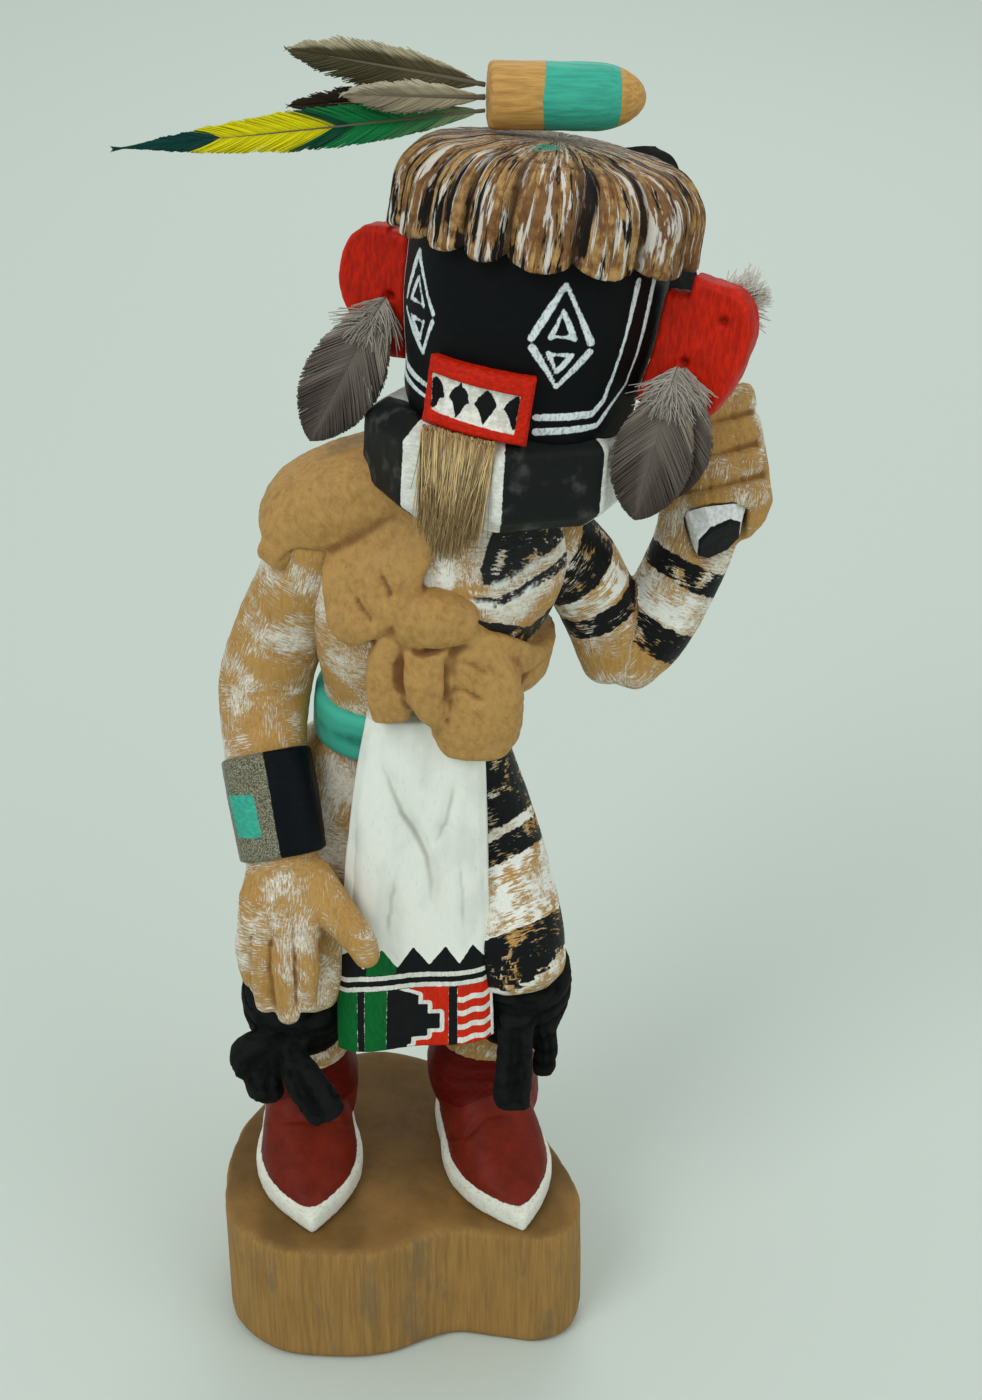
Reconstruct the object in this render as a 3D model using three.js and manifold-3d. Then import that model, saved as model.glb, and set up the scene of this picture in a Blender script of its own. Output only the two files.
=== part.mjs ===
// A carved and painted cottonwood kachina doll on its root slice, in millimetres.
// +Z is up, the origin is the centre of the base's underside, and the figure faces -Y.
// Its right-hand side, with the cape and the bracelet, is towards -X.
import * as THREE from 'three';
import { mergeVertices } from 'three/addons/utils/BufferGeometryUtils.js';
import Module from 'manifold-3d';

const wasm = await Module();
wasm.setup();

// ---- driving dimensions -------------------------------------------------------------------

const GAP = 0.3;                      // clearance between touching pieces
const BASE_HEIGHT = 36.5;             // thickness of the root slice
const SOLE_HEIGHT = 5.0;              // white sole of a moccasin
const FOOT_LENGTH = 55;
const FOOT_WIDTH = 28;
const WAIST_HEIGHT = 163;             // middle of the belt above the table
const BELT_HEIGHT = 13;
const HEM_HEIGHT = 87;                // lower edge of the sash
const HEAD_CENTRE = [28.2, -9, 243.7]; // on the axis of the case mask, level with its mouth
const HEAD_YAW = 21.7;                // degrees that the face turns to its right
const HEAD_ROLL = 6.1;                // degrees that the crown leans to its left
const HEAD_TIP = 6;                   // degrees that the face looks up
const MASK_RADIUS = 25.5;
const MASK_CHIN_RADIUS = 22.4;
const FRINGE_HEIGHT = 26.4;           // fringe and crown above the head's centre
const CROWN_HEIGHT = 46.6;
const HAIR_RADIUS = 30;
const HAIR_LOBES = 16;                // scallops of the fringe round the head
const MOUTH_RADIUS = 27.2;            // front of the raised mouth from the head's axis
const RUFF_CORNER_RADIUS = 28;        // to the corners of the eight-sided ruff
const RUFF_HEIGHT = 20;
const RUFF_BORE = 11;                 // inner radius, buried in the neck
const EAR_THICKNESS = 7;
const TUBE_RADIUS = 6.3;
const TUBE_LENGTH = 32;
const TUBE_NOSE = 12;                 // length of the tube's rounded end
const FIST_FINGERS = 4;
const FINGER_PITCH = 6.8;             // from one finger of the fist to the next, along the grip
const FINGER_REACH = 10.1;            // from the grip's axis to the lowest finger's knuckle
const FINGER_GROOVE = 1.5;            // depth of the cut between two fingers
const CLUB_GRIP_RADIUS = 3.4;
const CLUB_BUTT_LENGTH = 5.5;
const CLUB_CLEARANCE = GAP + 0.1;
const CLUB_BUTT_WIDTH = 6.8;          // half width of the butt, which is a little flatter than wide
const FEATHER_THICKNESS = 1.2;

// ---- small helpers ------------------------------------------------------------------------

const vec = (p) => new THREE.Vector3(p[0], p[1], p[2]);
const rad = THREE.MathUtils.degToRad;
const lerp = THREE.MathUtils.lerp;
const smooth = (a, b, x) => THREE.MathUtils.smoothstep(x, a, b);

function toSolid(geometry) {
  const bare = geometry.clone();
  bare.deleteAttribute('normal');
  bare.deleteAttribute('uv');
  const merged = mergeVertices(bare, 1e-4);
  return new wasm.Manifold(new wasm.Mesh({
    numProp: 3,
    vertProperties: new Float32Array(merged.attributes.position.array),
    triVerts: new Uint32Array(merged.index.array),
  }));
}

function toGeometry(solid) {
  const mesh = solid.getMesh();
  const geometry = new THREE.BufferGeometry();
  geometry.setAttribute('position', new THREE.BufferAttribute(mesh.vertProperties, 3));
  geometry.setIndex(new THREE.BufferAttribute(mesh.triVerts, 1));
  const flat = geometry.toNonIndexed();
  flat.computeVertexNormals();
  return flat;
}

const join = (solids) => solids.reduce((whole, next) => whole.add(next));

// A closed skin over rings of equally many points, capped by a fan at each end.
function skin(rings) {
  const count = rings[0].length;
  const points = rings.flat();
  const index = [];
  for (let r = 0; r + 1 < rings.length; r += 1) {
    for (let k = 0; k < count; k += 1) {
      const a = r * count + k;
      const b = r * count + (k + 1) % count;
      index.push(a, b, b + count, a, b + count, a + count);
    }
  }
  const cap = (first, flip) => {
    const middle = points.length;
    const centre = new THREE.Vector3();
    for (let k = 0; k < count; k += 1) centre.addScaledVector(points[first + k], 1 / count);
    points.push(centre);
    for (let k = 0; k < count; k += 1) {
      const a = first + k;
      const b = first + (k + 1) % count;
      index.push(...(flip ? [a, middle, b] : [a, b, middle]));
    }
  };
  cap(0, true);
  cap((rings.length - 1) * count, false);
  return facingOut(points, index);
}

// A solid from points and triangles, turned right side out if its volume comes out negative.
function facingOut(points, index) {
  let volume = 0;
  for (let k = 0; k < index.length; k += 3) {
    const [a, b, c] = [points[index[k]], points[index[k + 1]], points[index[k + 2]]];
    volume += a.dot(b.clone().cross(c));
  }
  const geometry = new THREE.BufferGeometry().setFromPoints(points);
  geometry.setIndex(volume < 0 ? index.slice().reverse() : index);
  return toSolid(geometry);
}

// One ring of a superellipse in the plane of u and v; power 2 is an ellipse, more is squarer.
function ring(centre, u, v, ru, rv, sides, power = 2) {
  return Array.from({ length: sides }, (_, k) => {
    const angle = 2 * Math.PI * (k + 0.5) / sides;
    const c = Math.cos(angle);
    const s = Math.sin(angle);
    const round = (x) => Math.sign(x) * Math.abs(x) ** (2 / power);
    return centre.clone().addScaledVector(u, ru * round(c)).addScaledVector(v, rv * round(s));
  });
}

// A limb along a smooth curve through stations [x, y, z, half width, half depth].
function limb(stations, { sides = 10, steps = 1, across = [1, 0, 0], power = 2.2, tip = 0.55 } = {}) {
  const curve = new THREE.CatmullRomCurve3(stations.map((s) => vec(s)), false, 'centripetal');
  const spans = stations.length - 1;
  const rings = [];
  const addRing = (t, scale, push) => {
    const at = Math.min(spans - 1e-6, t * spans);
    const k = Math.floor(at);
    const f = at - k;
    const mix = (i) => lerp(stations[k][i], stations[k + 1][i], f * f * (3 - 2 * f));
    const tangent = curve.getTangent(t).normalize();
    const u = vec(across);
    u.addScaledVector(tangent, -u.dot(tangent)).normalize();
    const v = tangent.clone().cross(u);
    const centre = curve.getPoint(t).addScaledVector(tangent, push);
    rings.push(ring(centre, u, v, mix(3) * scale, mix(4) * scale, sides, power));
  };
  const start = Math.min(stations[0][3], stations[0][4]) * 0.4;
  const end = Math.min(stations[spans][3], stations[spans][4]) * 0.4;
  addRing(0, tip, -start);
  for (let k = 0; k <= spans * steps; k += 1) addRing(k / (spans * steps), 1, 0);
  addRing(1, tip, end);
  return skin(rings);
}

// Horizontal sections [z, x, y, half width, half depth], joined from the lowest up.
function tower(sections, sides = 20, power = 2.3) {
  const x = new THREE.Vector3(1, 0, 0);
  const y = new THREE.Vector3(0, 1, 0);
  return skin(sections.map(([z, cx, cy, rx, ry]) => ring(vec([cx, cy, z]), x, y, rx, ry, sides, power)));
}

// Straight sections through any frame: each is [distance, u offset, v offset, half u, half v].
function stack(frame, sections, sides = 16, power = 2.3) {
  return skin(sections.map(([d, du, dv, ru, rv]) => {
    const centre = frame.origin.clone().addScaledVector(frame.w, d)
      .addScaledVector(frame.u, du).addScaledVector(frame.v, dv);
    return ring(centre, frame.u, frame.v, ru, rv, sides, power);
  }));
}

// An outline extruded in a frame: u and v lie in the outline, w is its thickness.
function plate(frame, shape, thickness, curveSegments) {
  const geometry = new THREE.ExtrudeGeometry(shape, { depth: thickness, bevelEnabled: false, curveSegments });
  geometry.translate(0, 0, -thickness / 2);
  const place = new THREE.Matrix4().makeBasis(frame.u, frame.v, frame.w).setPosition(frame.origin);
  geometry.applyMatrix4(place);
  return toSolid(geometry);
}

function frameAt(origin, u, w) {
  const side = vec(u).normalize();
  const out = vec(w);
  out.addScaledVector(side, -out.dot(side)).normalize();
  return { origin: vec(origin), u: side, v: out.clone().cross(side), w: out };
}

// ---- the head's own frame -----------------------------------------------------------------

function tiltedFrame(origin, roll, tip) {
  const up = new THREE.Vector3(Math.sin(rad(roll)), 0, Math.cos(rad(roll)));
  const level = new THREE.Vector3(-Math.sin(rad(HEAD_YAW)), -Math.cos(rad(HEAD_YAW)), 0);
  level.addScaledVector(up, -level.dot(up)).normalize();
  const face = level.clone().multiplyScalar(Math.cos(rad(tip))).addScaledVector(up, Math.sin(rad(tip)));
  up.multiplyScalar(Math.cos(rad(tip))).addScaledVector(level, -Math.sin(rad(tip)));
  return { origin, up, face, left: up.clone().cross(face) };
}

// A point of such a frame: distance to its left, forwards from its axis, and up.
function inFrame(frame, left, forward, up) {
  return frame.origin.clone().addScaledVector(frame.left, left)
    .addScaledVector(frame.face, forward).addScaledVector(frame.up, up);
}

const head = tiltedFrame(vec(HEAD_CENTRE), HEAD_ROLL, HEAD_TIP);
const onHead = (left, forward, up) => inFrame(head, left, forward, up);
const ruff = tiltedFrame(onHead(-2.3, 0, -16), 1, HEAD_TIP);

const headFrame = { origin: head.origin, u: head.left, v: head.face.clone().negate(), w: head.up };

// ---- base ---------------------------------------------------------------------------------

// The slice's outline: a rounded lobe under each foot, a shallow notch between them in front.
function baseOutline(inset) {
  const corners = [
    [-44.5, -10], [-41.5, -26], [-31, -36], [-17, -38.5], [-4, -37.5], [6, -33], [14, -30.5],
    [25, -32], [35, -33], [42.5, -28], [44, -18], [41, -7], [36, 4], [27, 18], [14, 30],
    [-4, 38], [-17, 36.5], [-31, 26], [-40, 13], [-43.5, 2],
  ];
  const curve = new THREE.CatmullRomCurve3(corners.map(([x, y]) => vec([x, y, 0])), true);
  return curve.getPoints(36).slice(0, -1).map((p) => {
    const length = p.length();
    return p.multiplyScalar((length - inset) / length);
  });
}

function makeBase() {
  const rings = [[0, 1.2], [2.5, 0], [BASE_HEIGHT - 3.5, 0.3], [BASE_HEIGHT - 1, 1.4], [BASE_HEIGHT, 3.2]]
    .map(([z, inset]) => baseOutline(inset).map((p) => vec([p.x, p.y, z])));
  return skin(rings);
}

// ---- legs and feet ------------------------------------------------------------------------

const RIGHT_FOOT = { heel: [-26, 21], toe: [-20.7, -33] };
const LEFT_FOOT = { heel: [15.5, 20], toe: [29.5, -31.5] };

function soleShape(length, width) {
  const half = width / 2;
  const shape = new THREE.Shape();
  shape.moveTo(0, 0);
  shape.bezierCurveTo(half * 0.75, 0, half * 0.8, length * 0.18, half * 0.84, length * 0.36);
  shape.bezierCurveTo(half * 1.02, length * 0.55, half * 1.08, length * 0.74, 0, length);
  shape.bezierCurveTo(-half * 1.08, length * 0.74, -half * 1.02, length * 0.55, -half * 0.84, length * 0.36);
  shape.bezierCurveTo(-half * 0.8, length * 0.18, -half * 0.75, 0, 0, 0);
  return shape;
}

function makeFoot({ heel, toe }) {
  const bottom = BASE_HEIGHT + GAP;
  const along = new THREE.Vector3(toe[0] - heel[0], toe[1] - heel[1], 0).normalize();
  const up = new THREE.Vector3(0, 0, 1);
  const across = along.clone().cross(up);
  const frame = { u: across, v: along, w: up };
  const sole = plate({ ...frame, origin: vec([heel[0], heel[1], bottom + SOLE_HEIGHT / 2]) },
    soleShape(FOOT_LENGTH, FOOT_WIDTH), SOLE_HEIGHT, 6);
  // The upper: half width, height above the sole, at shares of the foot's length.
  const profile = [[0.06, 7.5, 14], [0.2, 10, 20], [0.42, 11.2, 20], [0.6, 11.8, 12.5],
    [0.76, 9.6, 7.5], [0.88, 5.4, 4], [0.955, 1.6, 1.6]];
  const upper = skin(profile.map(([t, half, height]) => {
    const centre = vec([heel[0], heel[1], bottom + SOLE_HEIGHT - 1]).addScaledVector(along, t * FOOT_LENGTH);
    return Array.from({ length: 10 }, (_, k) => {
      const angle = 2 * Math.PI * (k + 0.5) / 10;
      const x = half * Math.sign(Math.cos(angle)) * Math.abs(Math.cos(angle)) ** 0.8;
      const s = Math.sin(angle);
      const z = s > 0 ? height * s ** 0.9 : 0;
      return centre.clone().addScaledVector(across, -x).addScaledVector(up, z);
    });
  }));
  return sole.add(upper);
}

// Thigh, shin and boot of one leg, from stations of its own.
function makeLeg({ thigh, shin }) {
  return join([
    limb(thigh, { tip: 0.7 }),
    limb(shin, { tip: 0.8 }),
  ]);
}

const RIGHT_LEG = {
  thigh: [[-8, 8, 146, 15, 16], [-15, -2, 127, 14, 15], [-21, -13, 109, 12.5, 13], [-23.5, -18, 99, 11, 11]],
  shin: [[-23, -12, 100, 11, 11], [-24, -5, 84, 10.5, 10.5], [-24, 2, 68, 11, 11.5],
    [-23.5, 5, 56, 12, 13], [-23.5, 7, 46, 11.5, 13]],
};
const LEFT_LEG = {
  thigh: [[12, 8, 147, 14, 16], [19.5, -1, 129, 13.8, 15], [26.3, -11, 112, 12.3, 13],
    [29.3, -15.5, 102, 10.3, 11]],
  shin: [[29, -9, 102, 10, 11], [27, -3, 84, 10.5, 10.5], [21, 3, 68, 12, 11.5],
    [19.5, 5, 58, 13.5, 13], [22.5, 7, 46, 12, 13]],
};

// A knee tie: the wrapped band, and the bow's loops and ends as short flat limbs.
function makeTie({ band, loops }) {
  const pieces = [limb(band, { sides: 12, power: 2.3, tip: 0.93 })];
  for (const loop of loops) {
    pieces.push(limb(loop, { sides: 7, power: 2.6, tip: 0.5 }));
  }
  return join(pieces);
}

const RIGHT_TIE = {
  band: [[-23.5, -12, 97, 12.2, 13], [-24, -9, 90, 12.8, 13.2], [-24, -5.5, 82, 12, 12.4]],
  loops: [
    [[-28, -21, 87, 3, 3], [-34, -22, 83, 4.2, 3.6], [-36, -20, 77, 3.4, 3.4]],
    [[-27, -22, 85, 2.6, 3], [-31, -23, 78, 4, 3.8], [-31, -22, 71, 4.2, 3.4]],
    [[-26, -22, 85, 3, 3], [-21, -26, 77, 4.6, 3.8], [-16.5, -27, 69, 4.6, 3.6]],
    [[-25, -20, 87, 5, 4], [-22, -20, 86, 5, 4]],
  ],
};
const LEFT_TIE = {
  band: [[29.5, -9.5, 99, 11.3, 12.5], [29, -7.5, 91, 11.6, 12.2], [28, -5, 82, 10.6, 11.6]],
  loops: [
    [[28, -20, 92, 4, 3.4], [27.5, -22, 82, 4.2, 3.6], [27, -24, 70, 4.6, 3.6]],
    [[33, -16, 90, 3, 3.2], [35, -14, 80, 2.8, 3], [34.5, -13, 71, 2.6, 2.8]],
  ],
};

// ---- body ---------------------------------------------------------------------------------

// Height, middle x, middle y, half width, half depth of the trunk, from the crotch to the neck.
const TRUNK = [
  [116, 4, 7, 12, 10], [124, 4, 8, 20, 14.5], [136, 4, 9, 22.5, 17.5], [148, 4, 8, 22, 17.5],
  [160, 4, 4, 20, 15.5], [170, 5, 0, 20, 15], [182, 7, -4, 23, 16.5], [194, 10, -6, 26, 17.5],
  [205, 13, -6, 26, 16], [214, 16, -5, 20, 13], [222, 20, -5, 13, 11], [232, 24, -7, 11, 11],
];

function trunkAt(z) {
  let k = 0;
  while (k < TRUNK.length - 2 && TRUNK[k + 1][0] < z) k += 1;
  const f = THREE.MathUtils.clamp((z - TRUNK[k][0]) / (TRUNK[k + 1][0] - TRUNK[k][0]), 0, 1);
  return [1, 2, 3, 4].map((i) => lerp(TRUNK[k][i], TRUNK[k + 1][i], f));
}

// A point standing proud of the trunk. Angle 0 is straight ahead, 90 is the figure's left side.
function offTrunk(angle, z, proud) {
  const [cx, cy, rx, ry] = trunkAt(z);
  const s = Math.sin(rad(angle));
  const c = Math.cos(rad(angle));
  const round = (x) => Math.sign(x) * Math.abs(x) ** 0.87;
  return vec([cx + (rx + proud) * round(s), cy - (ry + proud) * round(c), z]);
}

// Cloth carved round the trunk between two angles: edge(angle) gives its lower and upper height
// and how far its lower and upper edges stand proud.
function wrap(from, to, steps, edge, rows = 4, depth = 5) {
  const rings = [];
  for (let k = 0; k <= steps; k += 1) {
    const angle = lerp(from, to, k / steps);
    const { low, high, out, outTop } = edge(angle, k / steps);
    const outer = [];
    const inner = [];
    for (let r = 0; r < rows; r += 1) {
      const f = r / (rows - 1);
      const z = lerp(low, high, f);
      const proud = lerp(out, outTop, f);
      outer.push(offTrunk(angle, z, proud));
      inner.unshift(offTrunk(angle, z, -depth));
    }
    rings.push([...outer, ...inner].reverse());
  }
  return skin(rings);
}

function makeBelt() {
  const tilt = (angle) => -2.5 * Math.cos(rad(angle));
  const rings = [[-0.5, 0.6], [-0.38, 1.8], [0.38, 1.8], [0.5, 0.6]].map(([share, proud]) => (
    Array.from({ length: 24 }, (_, k) => {
      const angle = -k * 15;
      return offTrunk(-angle, WAIST_HEIGHT + tilt(angle) + share * BELT_HEIGHT, proud);
    })
  ));
  return skin(rings);
}

// The sash: a broad panel with soft upright folds that hangs in front, and a plainer one behind.
function makeSash() {
  const panel = (top, bottom, folds) => {
    const rows = 6;
    const rings = [];
    for (let r = 0; r < rows; r += 1) {
      const f = r / (rows - 1);
      const mix = (i) => lerp(bottom[i], top[i], f);
      const across = 7;
      const front = [];
      const back = [];
      for (let k = 0; k < across; k += 1) {
        const s = k / (across - 1) * 2 - 1;
        const fold = folds * Math.cos(s * Math.PI * 1.5) * (1 - f * 0.4);
        const x = mix(0) + s * mix(3);
        const round = 1.8 * s * s;
        front.push(vec([x, mix(1) + fold + round, mix(2) - (bottom[5] * s) * (1 - f)]));
        back.unshift(vec([x, mix(1) + mix(4) + round * 0.5, mix(2) - (bottom[5] * s) * (1 - f)]));
      }
      rings.push([...front, ...back]);
    }
    return skin(rings);
  };
  const front = panel([8, -20.5, 170, 12.5, 8, 0], [4.6, -25.5, HEM_HEIGHT, 18, 5, -1], 0.7);
  const behind = panel([4, 19.5, 158, 13, 6, 0], [4, 22, 116, 15, 5.5, 0], 0.4);
  return front.add(behind);
}

// The cape: over the right shoulder, down to the knot, round the left of the waist and up the back.
function makeCape() {
  const shoulder = limb([[-24, -3, 208.5, 4.6, 10.5], [-18.6, -3, 212, 8.8, 12.6],
    [-9, -4, 215.5, 11.2, 13.5], [3, -5, 218, 12, 13], [14, -3, 217, 10, 11]],
  { across: [0, 0, 1], tip: 0.6 });
  const lap = limb([[-22.6, -7, 207.5, 4.2, 7], [-18.6, -9.5, 205.5, 4.2, 7]],
    { sides: 8, across: [0, 0, 1] });
  const front = wrap(-80, -8, 8, (angle) => ({
    low: lerp(209, 190, smooth(-72, -36, angle)) + lerp(0, 8, smooth(-30, -8, angle)),
    high: 221,
    out: 4,
    outTop: 4.5,
  }), 4);
  const side = wrap(12, 118, 8, (angle, t) => ({
    low: lerp(182, 174.5, smooth(0, 0.3, t)),
    high: lerp(194, 185, smooth(0, 0.6, t)),
    out: 5 + 2.5 * smooth(0, 0.5, t),
    outTop: 3 + 2 * smooth(0, 0.7, t),
  }), 3);
  const back = wrap(112, 275, 11, (angle, t) => ({
    low: lerp(173, 188, t),
    high: lerp(188, 216, smooth(0, 0.7, t)),
    out: 4 + 1.2 * Math.cos(angle / 10),
    outTop: 4,
  }), 4);
  return join([shoulder, lap, front, side, back]);
}

// The cape's knot: a rounded lump, with a loop hanging on each side and the gathered lap.
function makeKnot() {
  const lump = limb([[4.5, -22, 195.5, 5, 5], [10.5, -23.5, 197, 6.5, 6], [17, -22, 195.5, 4.5, 5]],
    { sides: 10, across: [0, 0, 1] });
  const end = (stations) => limb(stations, { sides: 8, power: 2.8 });
  return join([
    lump,
    end([[4.5, -22, 194, 4.5, 3.4], [0.5, -22.5, 183, 4.8, 3.4], [1, -22, 173, 4.2, 3]]),
    end([[9.5, -24, 192, 4.5, 3.2], [8.5, -24.5, 182, 4.5, 3.4], [10.5, -24, 173.5, 2.8, 2.8]]),
    limb([[16, -21, 193, 4.5, 4], [20, -20.5, 182, 8.5, 6], [18.8, -20, 170, 9.8, 6],
      [18.5, -20, 164, 7.6, 5]], { power: 2.5 }),
  ]);
}

// ---- arms ---------------------------------------------------------------------------------

const RIGHT_ARM = [[-14, -3, 207, 10.5, 12], [-17.8, -2, 196, 10, 11], [-24, 0, 182, 10, 10],
  [-28, 0, 169, 10.3, 10], [-28, -7, 157, 9.2, 9], [-26, -15, 146, 9, 8.2], [-24, -21.5, 134, 7.6, 6.8]];

const RIGHT_FINGERS = [
  [[-31, -26, 124, 3, 3], [-32, -27.5, 116, 2.9, 3], [-31.5, -27, 108, 2.4, 2.4]],
  [[-28, -28, 124, 3, 3.2], [-29, -29.5, 114, 3, 3.1], [-28.5, -29.5, 103, 2.5, 2.6]],
  [[-23.5, -29, 124, 3, 3.3], [-24, -30.5, 113, 3, 3.2], [-23.5, -30.5, 100.5, 2.6, 2.7]],
  [[-19.5, -29, 124, 3, 3.2], [-19, -30, 114, 2.9, 3.1], [-19.5, -30, 103.5, 2.4, 2.6]],
];
const RIGHT_THUMB = [[-18, -23.5, 133, 5, 5], [-12.5, -27, 126.5, 4.5, 4.2], [-7.3, -29.5, 120.5, 3.7, 3.6],
  [-5.4, -30.5, 116.5, 3, 3]];

function makeRightArm() {
  const palm = limb([[-24, -21.5, 135, 8, 6.5], [-23.5, -25, 129, 10, 6], [-25, -27.5, 121.5, 9.3, 5]],
    { power: 2.5, tip: 0.8 });
  const fingers = RIGHT_FINGERS.map((finger) => limb(finger, { sides: 7, power: 2.4 }));
  const thumb = limb(RIGHT_THUMB, { sides: 8, power: 2.3 });
  const bracelet = limb([[-28.2, -7.5, 157.5, 9.8, 10], [-26.2, -13, 148, 9.9, 10],
    [-24.2, -18.5, 137.5, 9.5, 9.8]], { sides: 12, power: 2.8, tip: 0.96 });
  return join([limb(RIGHT_ARM), palm, ...fingers, thumb, bracelet]);
}

const LEFT_UPPER_ARM = [[33, -2, 205, 10, 11], [41, 0, 197, 9, 10], [46, 2, 186, 8.6, 9],
  [50.5, 3, 174, 8.6, 8.6]];
const LEFT_FOREARM = [[51, 3, 174, 8.6, 8.6], [57, 3, 181, 8.8, 8.8], [62, 3.5, 191, 8.8, 8.5],
  [66, 5, 201, 8.8, 8.4], [67.8, 7.5, 209, 9.2, 8.6]];

// The fist's own frame: w runs up along the grip, u to the knuckles.
const GRIP = frameAt([70.7, 8.7, 218], [0.95, 0.3, -0.05], [-0.13, 0.5, 0.86]);

function makeFist() {
  const palm = stack(GRIP, [[-15, -1.5, 0, 7, 6.5], [-10, -1, 0, 9, 8.6], [0, -0.3, 0, 9, 8.8],
    [10, -0.5, 0, 8, 8], [15, -0.5, 0, 5.2, 5.6]], 10);
  const pieces = [limb(LEFT_UPPER_ARM), limb(LEFT_FOREARM), palm];
  for (let k = 0; k < FIST_FINGERS; k += 1) {
    const middle = -8.2 + k * FINGER_PITCH;
    const half = FINGER_PITCH * 0.47;
    const crest = FINGER_REACH - 0.35 * k;
    const edge = crest - FINGER_GROOVE;
    pieces.push(stack(GRIP, [[middle - half, 0, 0, edge, edge], [middle, 0, 0, crest, crest],
      [middle + half, 0, 0, edge, edge]], 10, 2.6));
  }
  return join(pieces);
}

// ---- head ---------------------------------------------------------------------------------

function makeMask() {
  return stack(headFrame, [[-16, 0, 0, 17, 17], [-6, 0, 0, MASK_CHIN_RADIUS, MASK_CHIN_RADIUS],
    [2, 0, 0, MASK_CHIN_RADIUS + 1, MASK_CHIN_RADIUS + 1], [12, 0, 0, MASK_RADIUS - 0.4, MASK_RADIUS - 0.4],
    [20, 0, 0, MASK_RADIUS, MASK_RADIUS], [32, 0, 0, MASK_RADIUS, MASK_RADIUS]], 24, 2.1);
}

// A block that bends round the head's axis between two angles, two radii and two heights.
function bentBlock(halfAngle, inner, outer, low, high, steps = 6) {
  const rings = [];
  for (let k = 0; k <= steps; k += 1) {
    const angle = rad(lerp(-halfAngle, halfAngle, k / steps));
    const at = (r, up) => onHead(r * Math.sin(angle), r * Math.cos(angle), up);
    rings.push([at(inner, low), at(outer, low), at(outer, high), at(inner, high)].reverse());
  }
  return skin(rings);
}

// The mouth: a raised red frame that bends with the mask round a shallow pit.
function makeMouth() {
  const frame = bentBlock(24, 19, MOUTH_RADIUS, -6.8, 6.4);
  const pit = bentBlock(19, MOUTH_RADIUS - 1.6, MOUTH_RADIUS + 3, -4.8, 3.2);
  return frame.subtract(pit);
}

// Hair cap: a low dome whose locks run down to a scalloped fringe.
function makeHair() {
  const rows = [[FRINGE_HEIGHT + 2, HAIR_RADIUS - 5, 0], [FRINGE_HEIGHT, HAIR_RADIUS - 1, 1.2],
    [FRINGE_HEIGHT + 10, HAIR_RADIUS, 1.1], [CROWN_HEIGHT - 4.6, HAIR_RADIUS - 4, 0.7],
    [CROWN_HEIGHT - 1.3, HAIR_RADIUS - 11, 0.3], [CROWN_HEIGHT, HAIR_RADIUS - 20, 0]];
  const sides = HAIR_LOBES * 3;
  return skin(rows.map(([up, radius, lobe], row) => Array.from({ length: sides }, (_, k) => {
    const angle = 2 * Math.PI * k / sides;
    const bump = Math.abs(Math.sin(angle * HAIR_LOBES / 2)) - 0.6;
    const r = radius + lobe * bump;
    const drop = row === 1 ? -2.2 * (bump - 0.4) : 0;
    return onHead(r * Math.cos(angle), -r * Math.sin(angle), up + drop);
  })));
}

// The eight-sided neck ruff, with softened arrises between its flats.
function makeRuff() {
  const half = RUFF_HEIGHT / 2;
  const rim = RUFF_CORNER_RADIUS * Math.cos(rad(22.5));
  const section = [[RUFF_BORE, -half + 2], [rim - 4.5, -half], [rim, -half + 3.5], [rim, half - 3.5],
    [rim - 4.5, half], [RUFF_BORE, half - 2]];
  const turns = [-20, 20];
  const rings = [];
  for (let flat = 0; flat < 8; flat += 1) {
    for (const turn of turns) {
      const angle = rad(flat * 45 + turn);
      rings.push(section.map(([r, up]) => {
        const wide = r > RUFF_BORE ? r / Math.cos(rad(turn)) : r;
        return inFrame(ruff, wide * Math.sin(angle), wide * Math.cos(angle), up);
      }));
    }
  }
  const count = section.length;
  const index = [];
  for (let r = 0; r < rings.length; r += 1) {
    const next = (r + 1) % rings.length;
    for (let k = 0; k < count; k += 1) {
      const a = r * count + k;
      const b = r * count + (k + 1) % count;
      const c = next * count + (k + 1) % count;
      const d = next * count + k;
      index.push(a, c, b, a, d, c);
    }
  }
  return facingOut(rings.flat(), index);
}

// An ear board. The left one is the broader; both tuck up against the fringe.
const EARS = {
  ear_right: {
    side: -1, foot: [24.2, -1.8], heel: [28, -2.2], side1: [39, 2], side2: [41.4, 12], top: [39, 23.4],
  },
  ear_left: {
    side: 1, foot: [24.2, 1], heel: [37, -1.5], side1: [43, 3], side2: [45, 17], top: [42.5, 26.4],
  },
};

function makeEar({ side, foot, heel, side1, side2, top }) {
  const at = ([l, u]) => [side * l, u];
  const shape = new THREE.Shape();
  shape.moveTo(...at(foot));
  shape.lineTo(...at(heel));
  shape.quadraticCurveTo(...at(side1), ...at(side2));
  shape.quadraticCurveTo(...at([side2[0], top[1] - 2]), ...at([top[0] - 3, top[1]]));
  shape.lineTo(...at([31.6, top[1] + 0.8]));
  shape.lineTo(...at([31.4, 23.4]));
  shape.lineTo(...at([26.6, 23.2]));
  shape.lineTo(...at([26.1, 12]));
  shape.closePath();
  const origin = onHead(0, -0.5, 0);
  const frame = { origin, u: head.left.clone(), v: head.up.clone(), w: head.face.clone() };
  return plate(frame, shape, EAR_THICKNESS, 4);
}

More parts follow.
